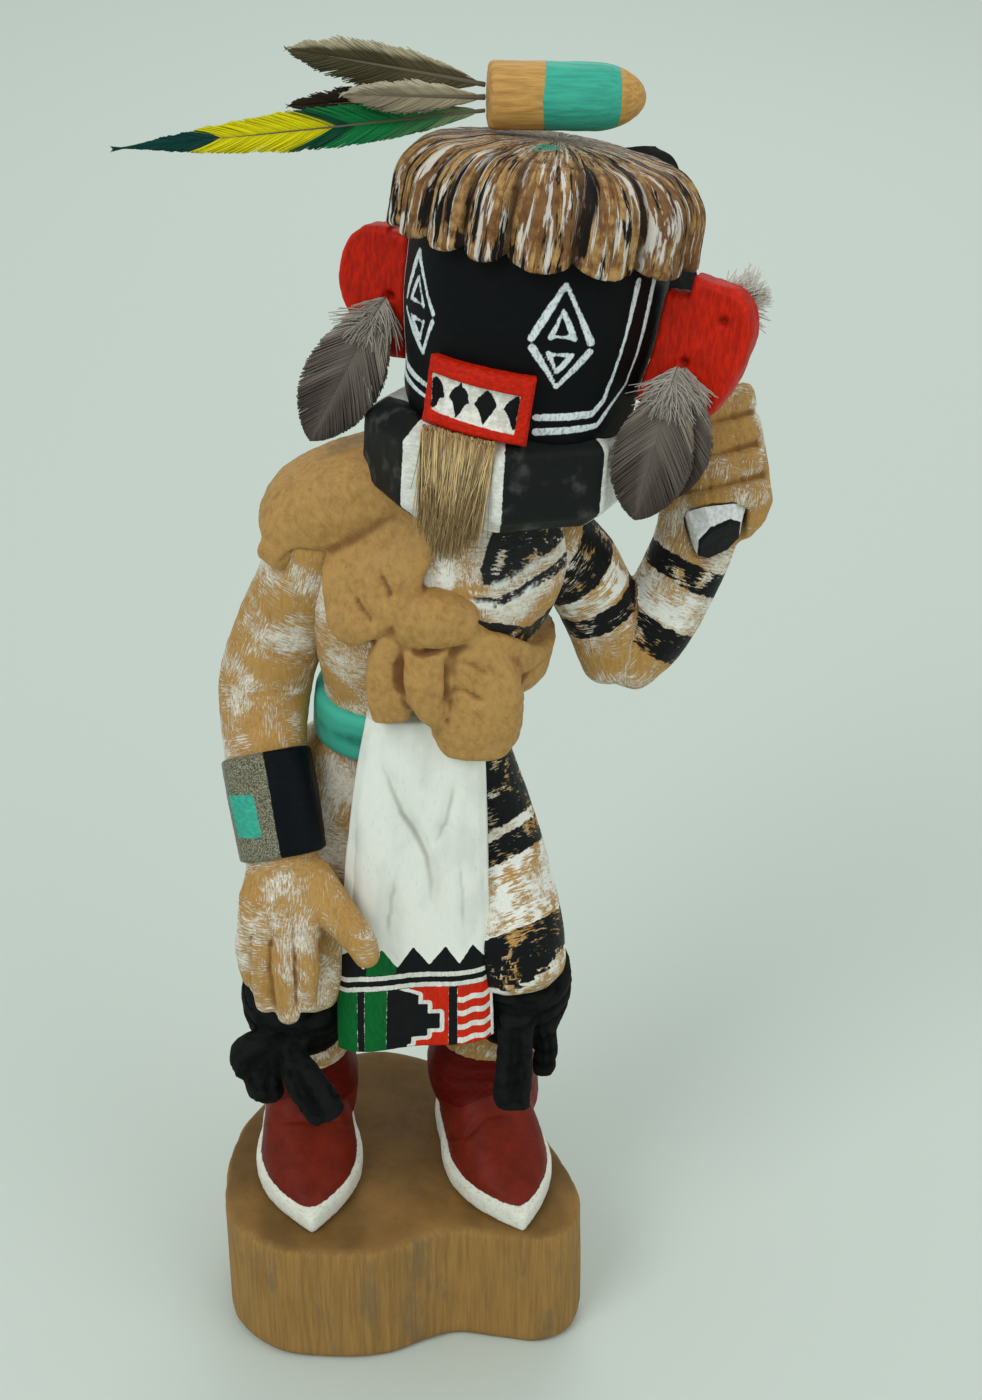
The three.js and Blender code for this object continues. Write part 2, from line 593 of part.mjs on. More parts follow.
// The tube on the crown: flat at one end, rounded like a bullet at the other.
function makeTube() {
  const straight = TUBE_LENGTH - TUBE_NOSE;
  const profile = [[0, 0], [TUBE_RADIUS - 0.6, 0], [TUBE_RADIUS, 0.7], [TUBE_RADIUS, straight]];
  const steps = 4;
  for (let k = 1; k <= steps; k += 1) {
    const f = k / steps;
    profile.push([TUBE_RADIUS * Math.sqrt(1 - f * f), straight + TUBE_NOSE * f ** 1.1]);
  }
  return new THREE.LatheGeometry(profile.map(([r, y]) => new THREE.Vector2(r, y)), 16);
}

const TUBE_START = [21.5, -6, 298.2];
const TUBE_END = [54.5, -3.5, 297.2];

function placeAlong(geometry, from, to) {
  const axis = vec(to).sub(vec(from)).normalize();
  geometry.applyQuaternion(new THREE.Quaternion().setFromUnitVectors(new THREE.Vector3(0, 1, 0), axis));
  geometry.translate(from[0], from[1], from[2]);
  return toSolid(geometry);
}

// ---- feathers, beard and club --------------------------------------------------------------

// A feather: a thin leaf that widens from its quill to its greatest breadth and ends in a point.
function makeFeather({ root, tip, wide, facing, lift = 0, belly = 0.55, quill = 0.8 }) {
  const along = vec(tip).sub(vec(root));
  const length = along.length();
  along.normalize();
  const out = vec(facing);
  out.addScaledVector(along, -out.dot(along)).normalize();
  const across = along.clone().cross(out);
  const steps = 6;
  const rings = [];
  for (let k = 0; k <= steps; k += 1) {
    const t = k / steps;
    const leaf = Math.sin(Math.PI * t ** (Math.log(0.5) / Math.log(belly))) ** 0.8;
    const half = Math.max(quill, wide / 2 * leaf);
    const centre = vec(root).addScaledVector(along, length * t)
      .addScaledVector(out, lift * Math.sin(Math.PI * t));
    const thick = FEATHER_THICKNESS / 2;
    rings.push([
      centre.clone().addScaledVector(across, half),
      centre.clone().addScaledVector(out, thick),
      centre.clone().addScaledVector(across, -half),
      centre.clone().addScaledVector(out, -thick),
    ]);
  }
  return skin(rings);
}

const CREST_FACING = [0.1, -1, 0.35];
const crestFeather = (root, tip, wide) => ({ root, tip, wide, facing: CREST_FACING, lift: 0.5 });
const FEATHERS = {
  tail_feather: {
    root: [20.8, -8, 295.8], tip: [-50, -12, 289.5], wide: 7, facing: CREST_FACING, lift: -1.5, belly: 0.4,
  },
  crest_feather_upper: crestFeather([20.8, -6.2, 300.2], [-16, -10, 307.5], 6.4),
  crest_feather_lower: crestFeather([20.8, -7.5, 298.1], [-6, -12, 299.5], 4.8),
  crest_feather_dark: crestFeather([20.8, -3.6, 297.4], [-17, -3, 295.5], 6),
};

// Body feathers hung on the ears, placed in the head's frame: left, forward, up.
const EAR_FEATHERS = {
  ear_feather_right: { root: [-29.2, 5, 10.4], tip: [-36.3, 15, -19.6], wide: 17, belly: 0.5 },
  ear_feather_left_front: { root: [33, 6, 10.4], tip: [34.5, 8.6, -19.5], wide: 15, belly: 0.6 },
  ear_feather_left_back: { root: [34.5, 4, 10], tip: [40, 5.4, -16], wide: 11, belly: 0.5 },
  ear_down: { root: [40, -5, 20.5], tip: [49.4, -6.5, 23.5], wide: 6, belly: 0.6 },
};

function makeEarFeather({ root, tip, wide, belly }) {
  return makeFeather({
    root: onHead(...root).toArray(), tip: onHead(...tip).toArray(), wide, belly,
    facing: head.face.toArray(), lift: 0.6,
  });
}

function makeBeard() {
  const frame = frameAt([15.4, -37.9, 230], [1, -0.38, 0], [0, 0.06, 1]);
  return stack(frame, [[-15, -0.5, 0, 2.2, 0.8], [-9, -0.3, 0, 5, 1.3], [0, 0, 0, 6.2, 1.6],
    [9, 0, 0, 7, 1.2]], 10);
}

// The club: a black butt and faceted white handle, a grip through the fist, and a flat blade.
const CLUB = frameAt([70.2, -3.4, 206], [1, 0.1, 0.08], [-0.126, 0.568, 0.813]);

function makeClub() {
  const grip = CLUB_GRIP_RADIUS;
  const end = CLUB_BUTT_LENGTH;
  const wide = CLUB_BUTT_WIDTH;
  const deep = CLUB_BUTT_WIDTH - 0.6;
  return stack(CLUB, [[-2.5, 0, 0, wide - 2.4, deep - 2.2], [-0.5, 0, 0, wide - 0.4, deep - 0.4],
    [end, 0, 0, wide, deep], [end + 0.1, 0, 0, grip, grip], [32, 0, 0, grip, grip], [37, -2, 0, 5, 2.2],
    [44, -4, 0, 7.5, 2], [84, -6, 0, 8.5, 2], [89, -8, 0, 6, 2]], 8, 2.4);
}

// The room that the fist leaves for the club: a close pocket round the butt, then a bore for the grip.
function gripHole() {
  const bore = CLUB_GRIP_RADIUS + CLUB_CLEARANCE;
  const shoulder = CLUB_BUTT_LENGTH + CLUB_CLEARANCE;
  const wide = CLUB_BUTT_WIDTH + CLUB_CLEARANCE;
  const deep = wide - 0.6;
  return stack(CLUB, [[-3, 0, 0, wide, deep], [shoulder, 0, 0, wide, deep],
    [shoulder + 0.1, 0, 0, bore, bore], [36, 0, 0, bore, bore]], 8, 2.4);
}

// What a cut leaves, without the crumbs that it may part from the edge of the piece.
function withoutCrumbs(solid) {
  return solid.decompose().reduce((most, next) => (next.volume() > most.volume() ? next : most));
}

// ---- assembly -----------------------------------------------------------------------------

const carving = join([
  tower(TRUNK, 16), makeLeg(RIGHT_LEG), makeLeg(LEFT_LEG), makeFoot(RIGHT_FOOT), makeFoot(LEFT_FOOT),
  makeTie(RIGHT_TIE), makeTie(LEFT_TIE), makeBelt(), makeSash(), makeCape(), makeKnot(),
  makeRightArm(), makeFist(), makeMask(), makeMouth(), makeHair(), makeRuff(),
]);
const figure = withoutCrumbs(carving.subtract(gripHole()));

const feature = (solid, name, colour, roughness = 0.75) => ({ solid, name, colour, roughness });

const parts = [
  feature(figure, 'figure', 0xb07d41),
  feature(makeBase(), 'base', 0x966e41),
  ...Object.entries(EARS).map(([name, spec]) => feature(makeEar(spec), name, 0xcd230f)),
  feature(placeAlong(makeTube(), TUBE_START, TUBE_END), 'head_tube', 0x32a58c),
  feature(makeBeard(), 'beard', 0xc8a878),
  feature(makeClub(), 'club', 0xd8dcdf),
  ...Object.entries(FEATHERS).map(([name, spec]) => feature(makeFeather(spec), name, 0x5a5048)),
  ...Object.entries(EAR_FEATHERS).map(([name, spec]) => feature(makeEarFeather(spec), name, 0x5a5048)),
];

const doll = new THREE.Group();
for (const { solid, name, colour, roughness } of parts) {
  const material = new THREE.MeshStandardMaterial({ color: colour, roughness, metalness: 0 });
  const mesh = new THREE.Mesh(toGeometry(solid), material);
  mesh.name = name;
  doll.add(mesh);
}

export default doll;
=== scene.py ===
"""A carved and painted cottonwood kachina doll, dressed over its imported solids.

Tables and paint plans are in millimetres in the row's own frame: +Z is up, the figure faces -Y,
and its left hand, the raised one, is towards +X. Meshes are written in metres.
"""
import math
from itertools import product

import bpy
import numpy as np
from mathutils import Matrix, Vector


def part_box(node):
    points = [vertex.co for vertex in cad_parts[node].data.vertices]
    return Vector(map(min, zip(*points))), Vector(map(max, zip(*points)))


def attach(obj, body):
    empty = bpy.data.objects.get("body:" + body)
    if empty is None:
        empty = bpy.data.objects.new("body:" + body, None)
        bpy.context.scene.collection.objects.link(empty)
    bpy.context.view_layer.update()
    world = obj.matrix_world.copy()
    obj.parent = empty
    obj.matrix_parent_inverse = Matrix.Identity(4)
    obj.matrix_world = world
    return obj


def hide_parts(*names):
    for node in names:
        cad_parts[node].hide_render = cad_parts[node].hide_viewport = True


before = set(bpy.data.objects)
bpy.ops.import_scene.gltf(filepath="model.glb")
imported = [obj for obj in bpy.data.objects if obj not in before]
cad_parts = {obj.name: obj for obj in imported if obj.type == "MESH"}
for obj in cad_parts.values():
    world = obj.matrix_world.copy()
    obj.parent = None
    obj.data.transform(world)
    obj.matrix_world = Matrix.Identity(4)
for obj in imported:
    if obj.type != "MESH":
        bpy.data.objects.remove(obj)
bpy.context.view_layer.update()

bl_info = {
    "name": "Kachina Doll",
    "version": (1, 0, 0),
    "blender": (4, 5, 0),
    "location": "View3D > Sidebar > Doll",
    "description": "Carves, paints and feathers a kachina doll over its packed solids",
    "category": "Object",
}

MM = 0.001
BASE_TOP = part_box("base")[1][2] / MM
GAP = 0.3                       # clearance under the soles


# ---- numbers ------------------------------------------------------------------------------

def linear(red, green, blue):
    """A colour given as it looks on a screen, 0 to 255, as the shader wants it."""
    def one(value):
        share = value / 255
        return share / 12.92 if share <= 0.04045 else ((share + 0.055) / 1.055) ** 2.4
    return tuple(one(value) for value in (red, green, blue))


def times(colour, share, more=0.0):
    """A colour made lighter or darker."""
    return tuple(min(1.0, n * share + more) for n in colour)


def unit(vectors):
    """Vectors scaled to length one."""
    vectors = np.asarray(vectors, float)
    return vectors / np.maximum(np.linalg.norm(vectors, axis=-1, keepdims=True), 1e-9)


def ease(low, high, value):
    """0 below low, 1 above high, and smooth between them."""
    share = np.clip((value - low) / (high - low), 0, 1)
    return share * share * (3 - 2 * share)


def spline(rows, count, closed=False):
    """Rows of numbers eased through every given row, as a smooth curve through points."""
    rows = np.asarray(rows, float)
    total = len(rows)
    spans = total if closed else total - 1
    at = np.arange(count) * spans / (count if closed else count - 1)
    k = np.minimum(at.astype(int), spans - 1)
    f = (at - k)[:, None]
    if closed:
        a, b, c, d = (rows[(k + j) % total] for j in (-1, 0, 1, 2))
    else:
        padded = np.vstack([2 * rows[0] - rows[1], rows, 2 * rows[-1] - rows[-2]])
        a, b, c, d = (padded[k + j] for j in range(4))
    return b + 0.5 * f * (c - a + f * (2 * a - 5 * b + 4 * c - d + f * (3 * (b - c) + d - a)))


def lumps(points, size, seed=0):
    """Smooth random swells between -1 and 1, as wide as size, the same on every run."""
    at = np.asarray(points, float) / np.asarray(size, float) + 31.7 * (seed + 1)
    whole = np.floor(at).astype(np.int64)
    f = at - whole
    f = f * f * (3 - 2 * f)
    total = np.zeros(len(at))
    for corner in product((0, 1), repeat=3):
        x, y, z = (whole + corner).T
        key = (x * 374761393 + y * 668265263 + z * 1274126177 + seed * 974711) & 0xFFFFFFFF
        key = ((key ^ (key >> 13)) * 1103515245) & 0xFFFFFFFF
        height = ((key ^ (key >> 16)) & 0xFFFFFFFF) / 2 ** 31 - 1
        total += height * np.prod(np.where(corner, f, 1 - f), axis=1)
    return total


def from_path(points, path):
    """Distance from each point to a path, and how far along the path, 0 to 1, it is nearest."""
    points = np.asarray(points, float)
    path = np.asarray(path, float)
    steps = np.diff(path, axis=0)
    lengths = np.linalg.norm(steps, axis=1)
    best = np.full(len(points), 1e9)
    where = np.zeros(len(points))
    run = 0
    for start, step, length in zip(path, steps, lengths):
        share = np.clip((points - start) @ step / length ** 2, 0, 1)
        distance = np.linalg.norm(points - start - share[:, None] * step, axis=1)
        nearer = distance < best
        best[nearer] = distance[nearer]
        where[nearer] = (run + share[nearer] * length) / lengths.sum()
        run += length
    return best, where


def filled_in(corners, gap):
    """Points about gap apart along a flat line through corners, without its last corner."""
    corners = np.asarray(corners, float)
    return np.vstack([
        a + (b - a) * np.linspace(0, 1, max(2, int(np.hypot(*(b - a)) / gap)), endpoint=False)[:, None]
        for a, b in zip(corners, corners[1:])])


def inside_polygon(points, corners):
    """Distance in from a flat outline's edge: above 0 inside it and below 0 outside."""
    x, y = np.asarray(points, float).T
    inside = np.zeros(len(x), bool)
    loop = list(corners) + [corners[0]]
    for (ax, ay), (bx, by) in zip(loop, loop[1:]):
        crosses = (ay > y) != (by > y)
        rise = by - ay if by != ay else 1e-9
        inside ^= crosses & (x < (bx - ax) * (y - ay) / rise + ax)
    distance, _ = from_path(np.c_[x, y], loop)
    return np.where(inside, distance, -distance)


# ---- shapes: pairs of points and faces ------------------------------------------------------

def facing_out(points, faces):
    """The shape with its faces turned outwards if its volume comes out negative."""
    points = np.asarray(points, float)
    corners = np.array([face[:3] for face in faces] + [(f[0], f[2], f[3]) for f in faces if len(f) == 4])
    a, b, c = (points[corners[:, k]] for k in range(3))
    if np.einsum("ij,ij->i", a, np.cross(b, c)).sum() < 0:
        faces = [face[::-1] for face in faces]
    return points, faces


def grid_faces(rows, columns, wrap):
    """The quads between neighbouring rows and columns of points."""
    index = np.arange(rows * columns).reshape(rows, columns)
    near = np.roll(index, -1, axis=1) if wrap else index[:, 1:]
    here = index if wrap else index[:, :-1]
    quads = np.stack([here[:-1], near[:-1], near[1:], here[1:]], axis=-1)
    return quads.reshape(-1, 4).tolist()


def shell(rings):
    """A closed skin over rings of equally many points, with a fan over each end."""
    rings = np.asarray(rings, float)
    rows, sides, _ = rings.shape
    points = np.vstack([rings.reshape(-1, 3), rings[0].mean(axis=0), rings[-1].mean(axis=0)])
    faces = grid_faces(rows, sides, True)
    first, last, top = rows * sides, rows * sides + 1, (rows - 1) * sides
    for k in range(sides):
        faces.append([k, first, (k + 1) % sides])
        faces.append([top + k, top + (k + 1) % sides, last])
    return facing_out(points, faces)


def slab(front, back):
    """A closed shape between two sheets of points with the same rows and columns."""
    front, back = np.asarray(front, float), np.asarray(back, float)
    rows, columns, _ = front.shape
    size = rows * columns
    faces = grid_faces(rows, columns, False)
    faces += [[corner + size for corner in face[::-1]] for face in faces]
    index = np.arange(size).reshape(rows, columns)
    edge = [*index[0, :-1], *index[:-1, -1], *index[-1, :0:-1], *index[:0:-1, 0]]
    for here, after in zip(edge, edge[1:] + edge[:1]):
        faces.append([int(after), int(here), int(here) + size, int(after) + size])
    return facing_out(np.vstack([front.reshape(-1, 3), back.reshape(-1, 3)]), faces)


def torus(rings):
    """A closed skin over rings that come back round to the first."""
    rings = np.asarray(rings, float)
    rows, sides, _ = rings.shape
    faces = grid_faces(rows + 1, sides, True)
    return facing_out(rings.reshape(-1, 3), [[corner % (rows * sides) for corner in face] for face in faces])


def ring(centre, u, v, half_u, half_v, sides, power=2.3):
    """One ring in the plane of u and v: power 2 is an ellipse, and more is squarer."""
    turn = 2 * np.pi * (np.arange(sides) + 0.5) / sides
    c, s = np.cos(turn), np.sin(turn)
    across = half_u * np.sign(c) * np.abs(c) ** (2 / power)
    through = half_v * np.sign(s) * np.abs(s) ** (2 / power)
    return np.asarray(centre) + np.outer(across, u) + np.outer(through, v)


def run_of(stations, count, across=(1, 0, 0)):
    """A limb's smooth centre line: its rows, and the directions across, through and along it."""
    rows = spline(stations, count)
    along = unit(np.gradient(rows[:, :3], axis=0))
    across = np.asarray(across, float)
    u = unit(across - (along @ across)[:, None] * along)
    return rows, u, np.cross(along, u), along


def limb(stations, across=(1, 0, 0), power=2.2, dome=0.6, sides=28, steps=9):
    """A limb through stations [x, y, z, half width, half depth], with domed ends."""
    rows, u, v, along = run_of(stations, (len(stations) - 1) * steps + 1, across)
    rings = [ring(r[:3], a, b, r[3], r[4], sides, power) for r, a, b in zip(rows, u, v)]
    for end, sign in ((0, -1), (-1, 1)):
        row = rows[end]
        for tilt in np.radians((25, 48, 67, 82)):
            push = row[:3] + sign * along[end] * dome * min(row[3], row[4]) * math.sin(tilt)
            cap = ring(push, u[end], v[end], row[3] * math.cos(tilt), row[4] * math.cos(tilt), sides, power)
            rings.insert(len(rings) if sign > 0 else 0, cap)
    return shell(rings)


def stack(axes, sections, sides=40, power=2.3, steps=1):
    """Straight sections along a frame's third axis: [distance, u, v, half u, half v]."""
    origin, u, v, w = axes
    rows = spline(sections, (len(sections) - 1) * steps + 1) if steps > 1 else np.asarray(sections, float)
    return shell([ring(origin + w * d + u * du + v * dv, u, v, ru, rv, sides, power)
                  for d, du, dv, ru, rv in rows])


def axes_at(origin, u, w):
    """A frame from its origin, its first axis and about its third."""
    u = unit(u)
    w = np.asarray(w, float)
    w = unit(w - (w @ u) * u)
    return np.asarray(origin, float), u, np.cross(w, u), w


def in_axes(points, axes):
    """Points as seen in a frame: along its u, v and w."""
    return (np.asarray(points) - axes[0]) @ np.array(axes[1:]).T


def on_limb(points, stations, across=(1, 0, 0)):
    """Each point's place on a limb: across it, through it, and along it from its first station."""
    rows, u, v, along = run_of(np.asarray(stations, float)[:, :3], 161, across)
    steps = np.linalg.norm(np.diff(rows, axis=0), axis=1)
    run = np.concatenate([[0], np.cumsum(steps)])
    nearest = np.concatenate([
        np.argmin(((part[:, None] - rows[None]) ** 2).sum(axis=2), axis=1)
        for part in np.array_split(np.asarray(points), max(1, len(points) // 4000))])
    off = points - rows[nearest]
    across, through, on = (np.einsum("ij,ij->i", off, axis[nearest]) for axis in (u, v, along))
    return np.c_[across, through, run[nearest] + on]


# ---- a piece being carved -------------------------------------------------------------------

def placed(name, data):
    """A new object in the scene."""
    thing = bpy.data.objects.new(name, data)
    bpy.context.scene.collection.objects.link(thing)
    return thing


def new_thing(name, points, faces):
    """A new object in the scene; its points are in millimetres."""
    mesh = bpy.data.meshes.new(name)
    mesh.from_pydata((np.asarray(points) * MM).tolist(), [], faces)
    return placed(name, mesh)


def joined(shapes):
    """Several shapes as one list of points and one of faces."""
    points, faces, first = [], [], 0
    for shape_points, shape_faces in shapes:
        faces += [[corner + first for corner in face] for face in shape_faces]
        points.append(shape_points)
        first += len(shape_points)
    return np.vstack(points), faces


def settle(thing):
    """Turns what an object's modifiers make into its own plain mesh."""
    graph = bpy.context.evaluated_depsgraph_get()
    mesh = bpy.data.meshes.new_from_object(thing.evaluated_get(graph))
    thing.modifiers.clear()
    old, thing.data = thing.data, mesh
    bpy.data.meshes.remove(old)


def hold(mesh, name, values):
    """Keeps numbers or vectors at a mesh's points, for its material or its nodes to read."""
    values = np.asarray(values, np.float32)
    kind, key = ("FLOAT_VECTOR", "vector") if values.ndim == 2 else ("FLOAT", "value")
    mesh.attributes.new(name, kind, "POINT").data.foreach_set(key, values.ravel())


def ridge(value, width):
    """1 where a value is nothing, falling straight to 0 at width."""
    return np.clip(1 - np.abs(value) / width, 0, 1)


class Carving:
    """A piece's skin in millimetres, to be cut, roughened and painted before it is finished."""

    def __init__(self, name, shapes, voxel=None, soften=4):
        self.thing = new_thing(name, *joined(shapes))
        if voxel:
            self.fuse(voxel, soften)
        self.read()

    def fuse(self, voxel, soften):
        """Melts overlapping shapes into one even skin."""
        fuse = self.thing.modifiers.new("Fuse", "REMESH")
        fuse.mode, fuse.voxel_size = "VOXEL", voxel * MM
        smooth = self.thing.modifiers.new("Soften", "SMOOTH")
        smooth.factor, smooth.iterations = 0.5, soften
        settle(self.thing)

    def hollow_out(self, shape, voxel):
        """Cuts another shape away, and evens the skin again."""
        cutter = new_thing("cutter", *shape)
        cut = self.thing.modifiers.new("Cut", "BOOLEAN")
        cut.operation, cut.solver, cut.object = "DIFFERENCE", "EXACT", cutter
        settle(self.thing)
        mesh = cutter.data
        bpy.data.objects.remove(cutter)
        bpy.data.meshes.remove(mesh)
        self.fuse(voxel, 1)
        self.read()

    def read(self):
        """Takes the points, normals and edges from the mesh."""
        def taken(items, key, width, kind):
            flat = np.empty(len(items) * width, kind)
            items.foreach_get(key, flat)
            return flat.reshape(-1, width)
        mesh = self.thing.data
        self.co = taken(mesh.vertices, "co", 3, float) / MM
        self.no = taken(mesh.vertex_normals, "vector", 3, np.float32).astype(float)
        self.pairs = taken(mesh.edges, "vertices", 2, np.int32)

    def press(self, amount):
        """Moves the skin out along its normals by amount, or in where that is negative."""
        self.co = self.co + self.no * np.asarray(amount)[:, None]

    def cut(self, path, width, depth, taper=0.35):
        """A V-shaped groove along the skin nearest to a path, running out at its ends."""
        line = spline(path, 6 * len(path))
        line = self.co[[np.argmin(((self.co - point) ** 2).sum(axis=1)) for point in line]]
        line = line[np.r_[True, np.linalg.norm(np.diff(line, axis=0), axis=1) > 1e-6]]
        distance, where = from_path(self.co, line)
        ends = ease(0, taper, where) * ease(0, taper, 1 - where)
        self.press(-depth * ridge(distance, width) ** 1.3 * ends)

    def knife(self, depth, grain=3.0, seed=0):
        """The flats and ridges that a knife leaves."""
        fine = lumps(self.co, np.asarray(grain) * 0.45, seed + 1)
        self.press(depth * (np.abs(lumps(self.co, grain, seed)) + 0.6 * fine))

    def averaged(self, values, times_over):
        """Values at the points, each blended with its neighbours' so many times."""
        a, b = self.pairs.T
        shares = np.maximum(np.bincount(self.pairs.ravel(), minlength=len(values)), 1)
        for _ in range(times_over):
            columns = [np.bincount(a, column[b], len(values)) + np.bincount(b, column[a], len(values))
                       for column in values.T]
            values = (np.array(columns).T + values) / (shares + 1)[:, None]
        return values

    def plan(self, name, values):
        """Keeps numbers or vectors at the points for the material to read."""
        hold(self.thing.data, name, values)

    def finish(self, material, slot="carved_wood", node="figure", flat=False):
        """Stores the shape, shades it, hides the imported part that it stands for, and hangs it on the root
        body.
        """
        mesh = self.thing.data
        mesh.vertices.foreach_set("co", (self.co * MM).ravel())
        mesh.update()
        self.read()
        # How deep each point sits in a hollow (above 0) or how far it stands on a ridge (below 0). The
        # finishes read it to paint shade into hollows and a highlight onto ridges, and to keep the dry brush
        # out of hollows.
        hollow = np.einsum("ij,ij->i", self.averaged(self.co, 10) - self.co, self.no)
        self.plan("hollow", self.averaged(hollow[:, None], 2)[:, 0])
        mesh.materials.append(material)
        mesh.polygons.foreach_set("use_smooth", np.full(len(mesh.polygons), not flat))
        mesh.update()
        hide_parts(node)
        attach(self.thing, "root")


# ---- a finish being mixed ---------------------------------------------------------------------

class Wire:
    """A value in a material's tree, so that shader maths reads as arithmetic."""

    def __init__(self, finish, socket):
        self.finish = finish
        self.socket = socket

    def maths(self, operation, other):
        return self.finish.node("ShaderNodeMath", {"operation": operation}, {0: self, 1: other})

    def __add__(self, other):
        return self.maths("ADD", other)

    def __mul__(self, other):
        return self.maths("MULTIPLY", other)

    def __sub__(self, other):
        return self.maths("SUBTRACT", other)

    def __rsub__(self, other):
        return self.finish.node("ShaderNodeMath", {"operation": "SUBTRACT"}, {0: other, 1: self})

    __radd__ = __add__
    __rmul__ = __mul__

    def most(self, other):
        return self.maths("MAXIMUM", other)

    def step(self, low, high):
        """0 at low, 1 at high, smooth between; low may be the larger."""
        return self.finish.node("ShaderNodeMapRange", {"interpolation_type": "SMOOTHSTEP", "clamp": True},
                                {"Value": self, "From Min": low, "From Max": high})

    def band(self, low, high, soft=0.15):
        """1 between low and high."""
        return self.step(low - soft, low + soft) * self.step(high + soft, high - soft)


class Finish:
    """One procedural material, with a method for each kind of node value that it uses."""

    def __init__(self, name, shine=0.14):
        self.material = bpy.data.materials.new(name)
        self.material.use_nodes = True
        self.tree = self.material.node_tree
        self.tree.nodes.clear()
        self.shader = self.tree.nodes.new("ShaderNodeBsdfPrincipled")
        output = self.tree.nodes.new("ShaderNodeOutputMaterial")
        self.tree.links.new(self.shader.outputs[0], output.inputs[0])
        self.shader.inputs["Specular IOR Level"].default_value = shine
        self.at = self.stretch(self.node("ShaderNodeTexCoord", out="Object"), (1 / MM, 1 / MM, 1 / MM))

    def node(self, kind, settings=None, inputs=None, out=0):
        """Any node: its settings first, then the values or links of its sockets."""
        node = self.tree.nodes.new(kind)
        for name, value in (settings or {}).items():
            setattr(node, name, value)
        for name, value in (inputs or {}).items():
            if isinstance(value, Wire):
                self.tree.links.new(value.socket, node.inputs[name])
            else:
                node.inputs[name].default_value = value
        return Wire(self, node.outputs[out])

    def moved(self, vector, by):
        """A vector moved by three numbers."""
        return self.node("ShaderNodeVectorMath", {"operation": "ADD"}, {0: vector, 1: by})

    def stretch(self, vector, factors):
        """A vector multiplied by three numbers."""
        return self.node("ShaderNodeVectorMath", {"operation": "MULTIPLY"}, {0: vector, 1: factors})

    def planned(self, name):
        """A vector kept at the vertices."""
        return self.node("ShaderNodeAttribute", {"attribute_name": name}, out="Vector")

    def held(self, name):
        """A number kept at the vertices."""
        return self.node("ShaderNodeAttribute", {"attribute_name": name}, out="Fac")

    def split(self, vector):
        """A vector's three numbers."""
        x = self.node("ShaderNodeSeparateXYZ", inputs={0: vector})
        outputs = x.socket.node.outputs
        return x, Wire(self, outputs[1]), Wire(self, outputs[2])

    def noise(self, vector, size, detail=2.0, rough=0.5, warp=0.0):
        """Noise about as coarse as size, in the vector's units, near 0.5 on average."""
        inputs = {"Vector": vector, "Scale": 1 / size, "Detail": detail, "Roughness": rough,
                  "Distortion": warp}
        return self.node("ShaderNodeTexNoise", inputs=inputs)

    def grain(self, factors, detail=4.0, rough=0.65):
        """Noise over the point in millimetres, drawn out by a factor for each axis."""
        return self.noise(self.stretch(self.at, factors), 1.0, detail, rough)

    def unsteady(self, size, amount):
        """How far a hand wanders off its line, by up to half of amount."""
        return (self.noise(self.at, size, 3.0, 0.6) - 0.5) * amount

    def drawn(self, plan, wander=0.0, soft=0.06):
        """1 inside a planned outline, with its edge moved by wander."""
        return (self.held(plan) + wander).step(-soft, soft)

    def brushed(self, brush, colour, low, high, start=0.35, end=0.7):
        """A paint from a darker to a lighter share of its colour, after the brush's marks."""
        return self.mix(brush.step(start, end), times(colour, low), times(colour, high))

    def mix(self, mask, under, over):
        """Two colours, the second laid over the first where the mask is 1."""
        def four(value):
            return value if isinstance(value, Wire) else (*value[:3], 1.0)
        return self.node("ShaderNodeMix", {"data_type": "RGBA"}, {0: mask, 6: four(under), 7: four(over)}, 2)

    def shade(self, colour, mask, keep):
        """The colour darkened to keep of itself where the mask is 1, as painted shade."""
        return self.node("ShaderNodeMix", {"data_type": "RGBA", "blend_type": "MULTIPLY"},
                         {0: mask, 6: colour, 7: (keep, keep, keep, 1.0)}, 2)

    def strokes(self, vector, grain, cover, patch=9.0, soft=0.05, seed=0.0):
        """Dry brush marks drawn out along the vector's long axes; cover is about how much they hide."""
        moved = self.moved(vector, (seed, -seed, seed))
        hair = self.noise(self.stretch(moved, grain), 1.0, 3.0, 0.65)
        load = self.noise(moved, patch, 2.0)
        edge = 0.5 - 0.28 * (cover - 0.5)
        return (hair + (load - 0.5) * 1.15).step(edge - soft, edge + soft)

    def done(self, colour, roughness, height=None, strength=0.4, reach=0.25):
        """Joins the colour, roughness and relief to the shader and returns the material."""
        self.tree.links.new(colour.socket, self.shader.inputs["Base Color"])
        if isinstance(roughness, Wire):
            self.tree.links.new(roughness.socket, self.shader.inputs["Roughness"])
        else:
            self.shader.inputs["Roughness"].default_value = roughness
        if height is not None:
            bump = self.node("ShaderNodeBump", inputs={"Strength": strength, "Distance": reach * MM,
                                                       "Height": height})
            self.tree.links.new(bump.socket, self.shader.inputs["Normal"])
        return self.material


# ---- what a user may change -------------------------------------------------------------------

def tint(name, description, *screen):
    return bpy.props.FloatVectorProperty(name=name, description=description, default=linear(*screen),
                                         size=3, min=0.0, max=1.0, subtype="COLOR")


def length(name, description, default, low=0.0001, high=0.1):
    return bpy.props.FloatProperty(name=name, description=description, default=default, min=low, max=high,
                                   subtype="DISTANCE", unit="LENGTH", precision=5)


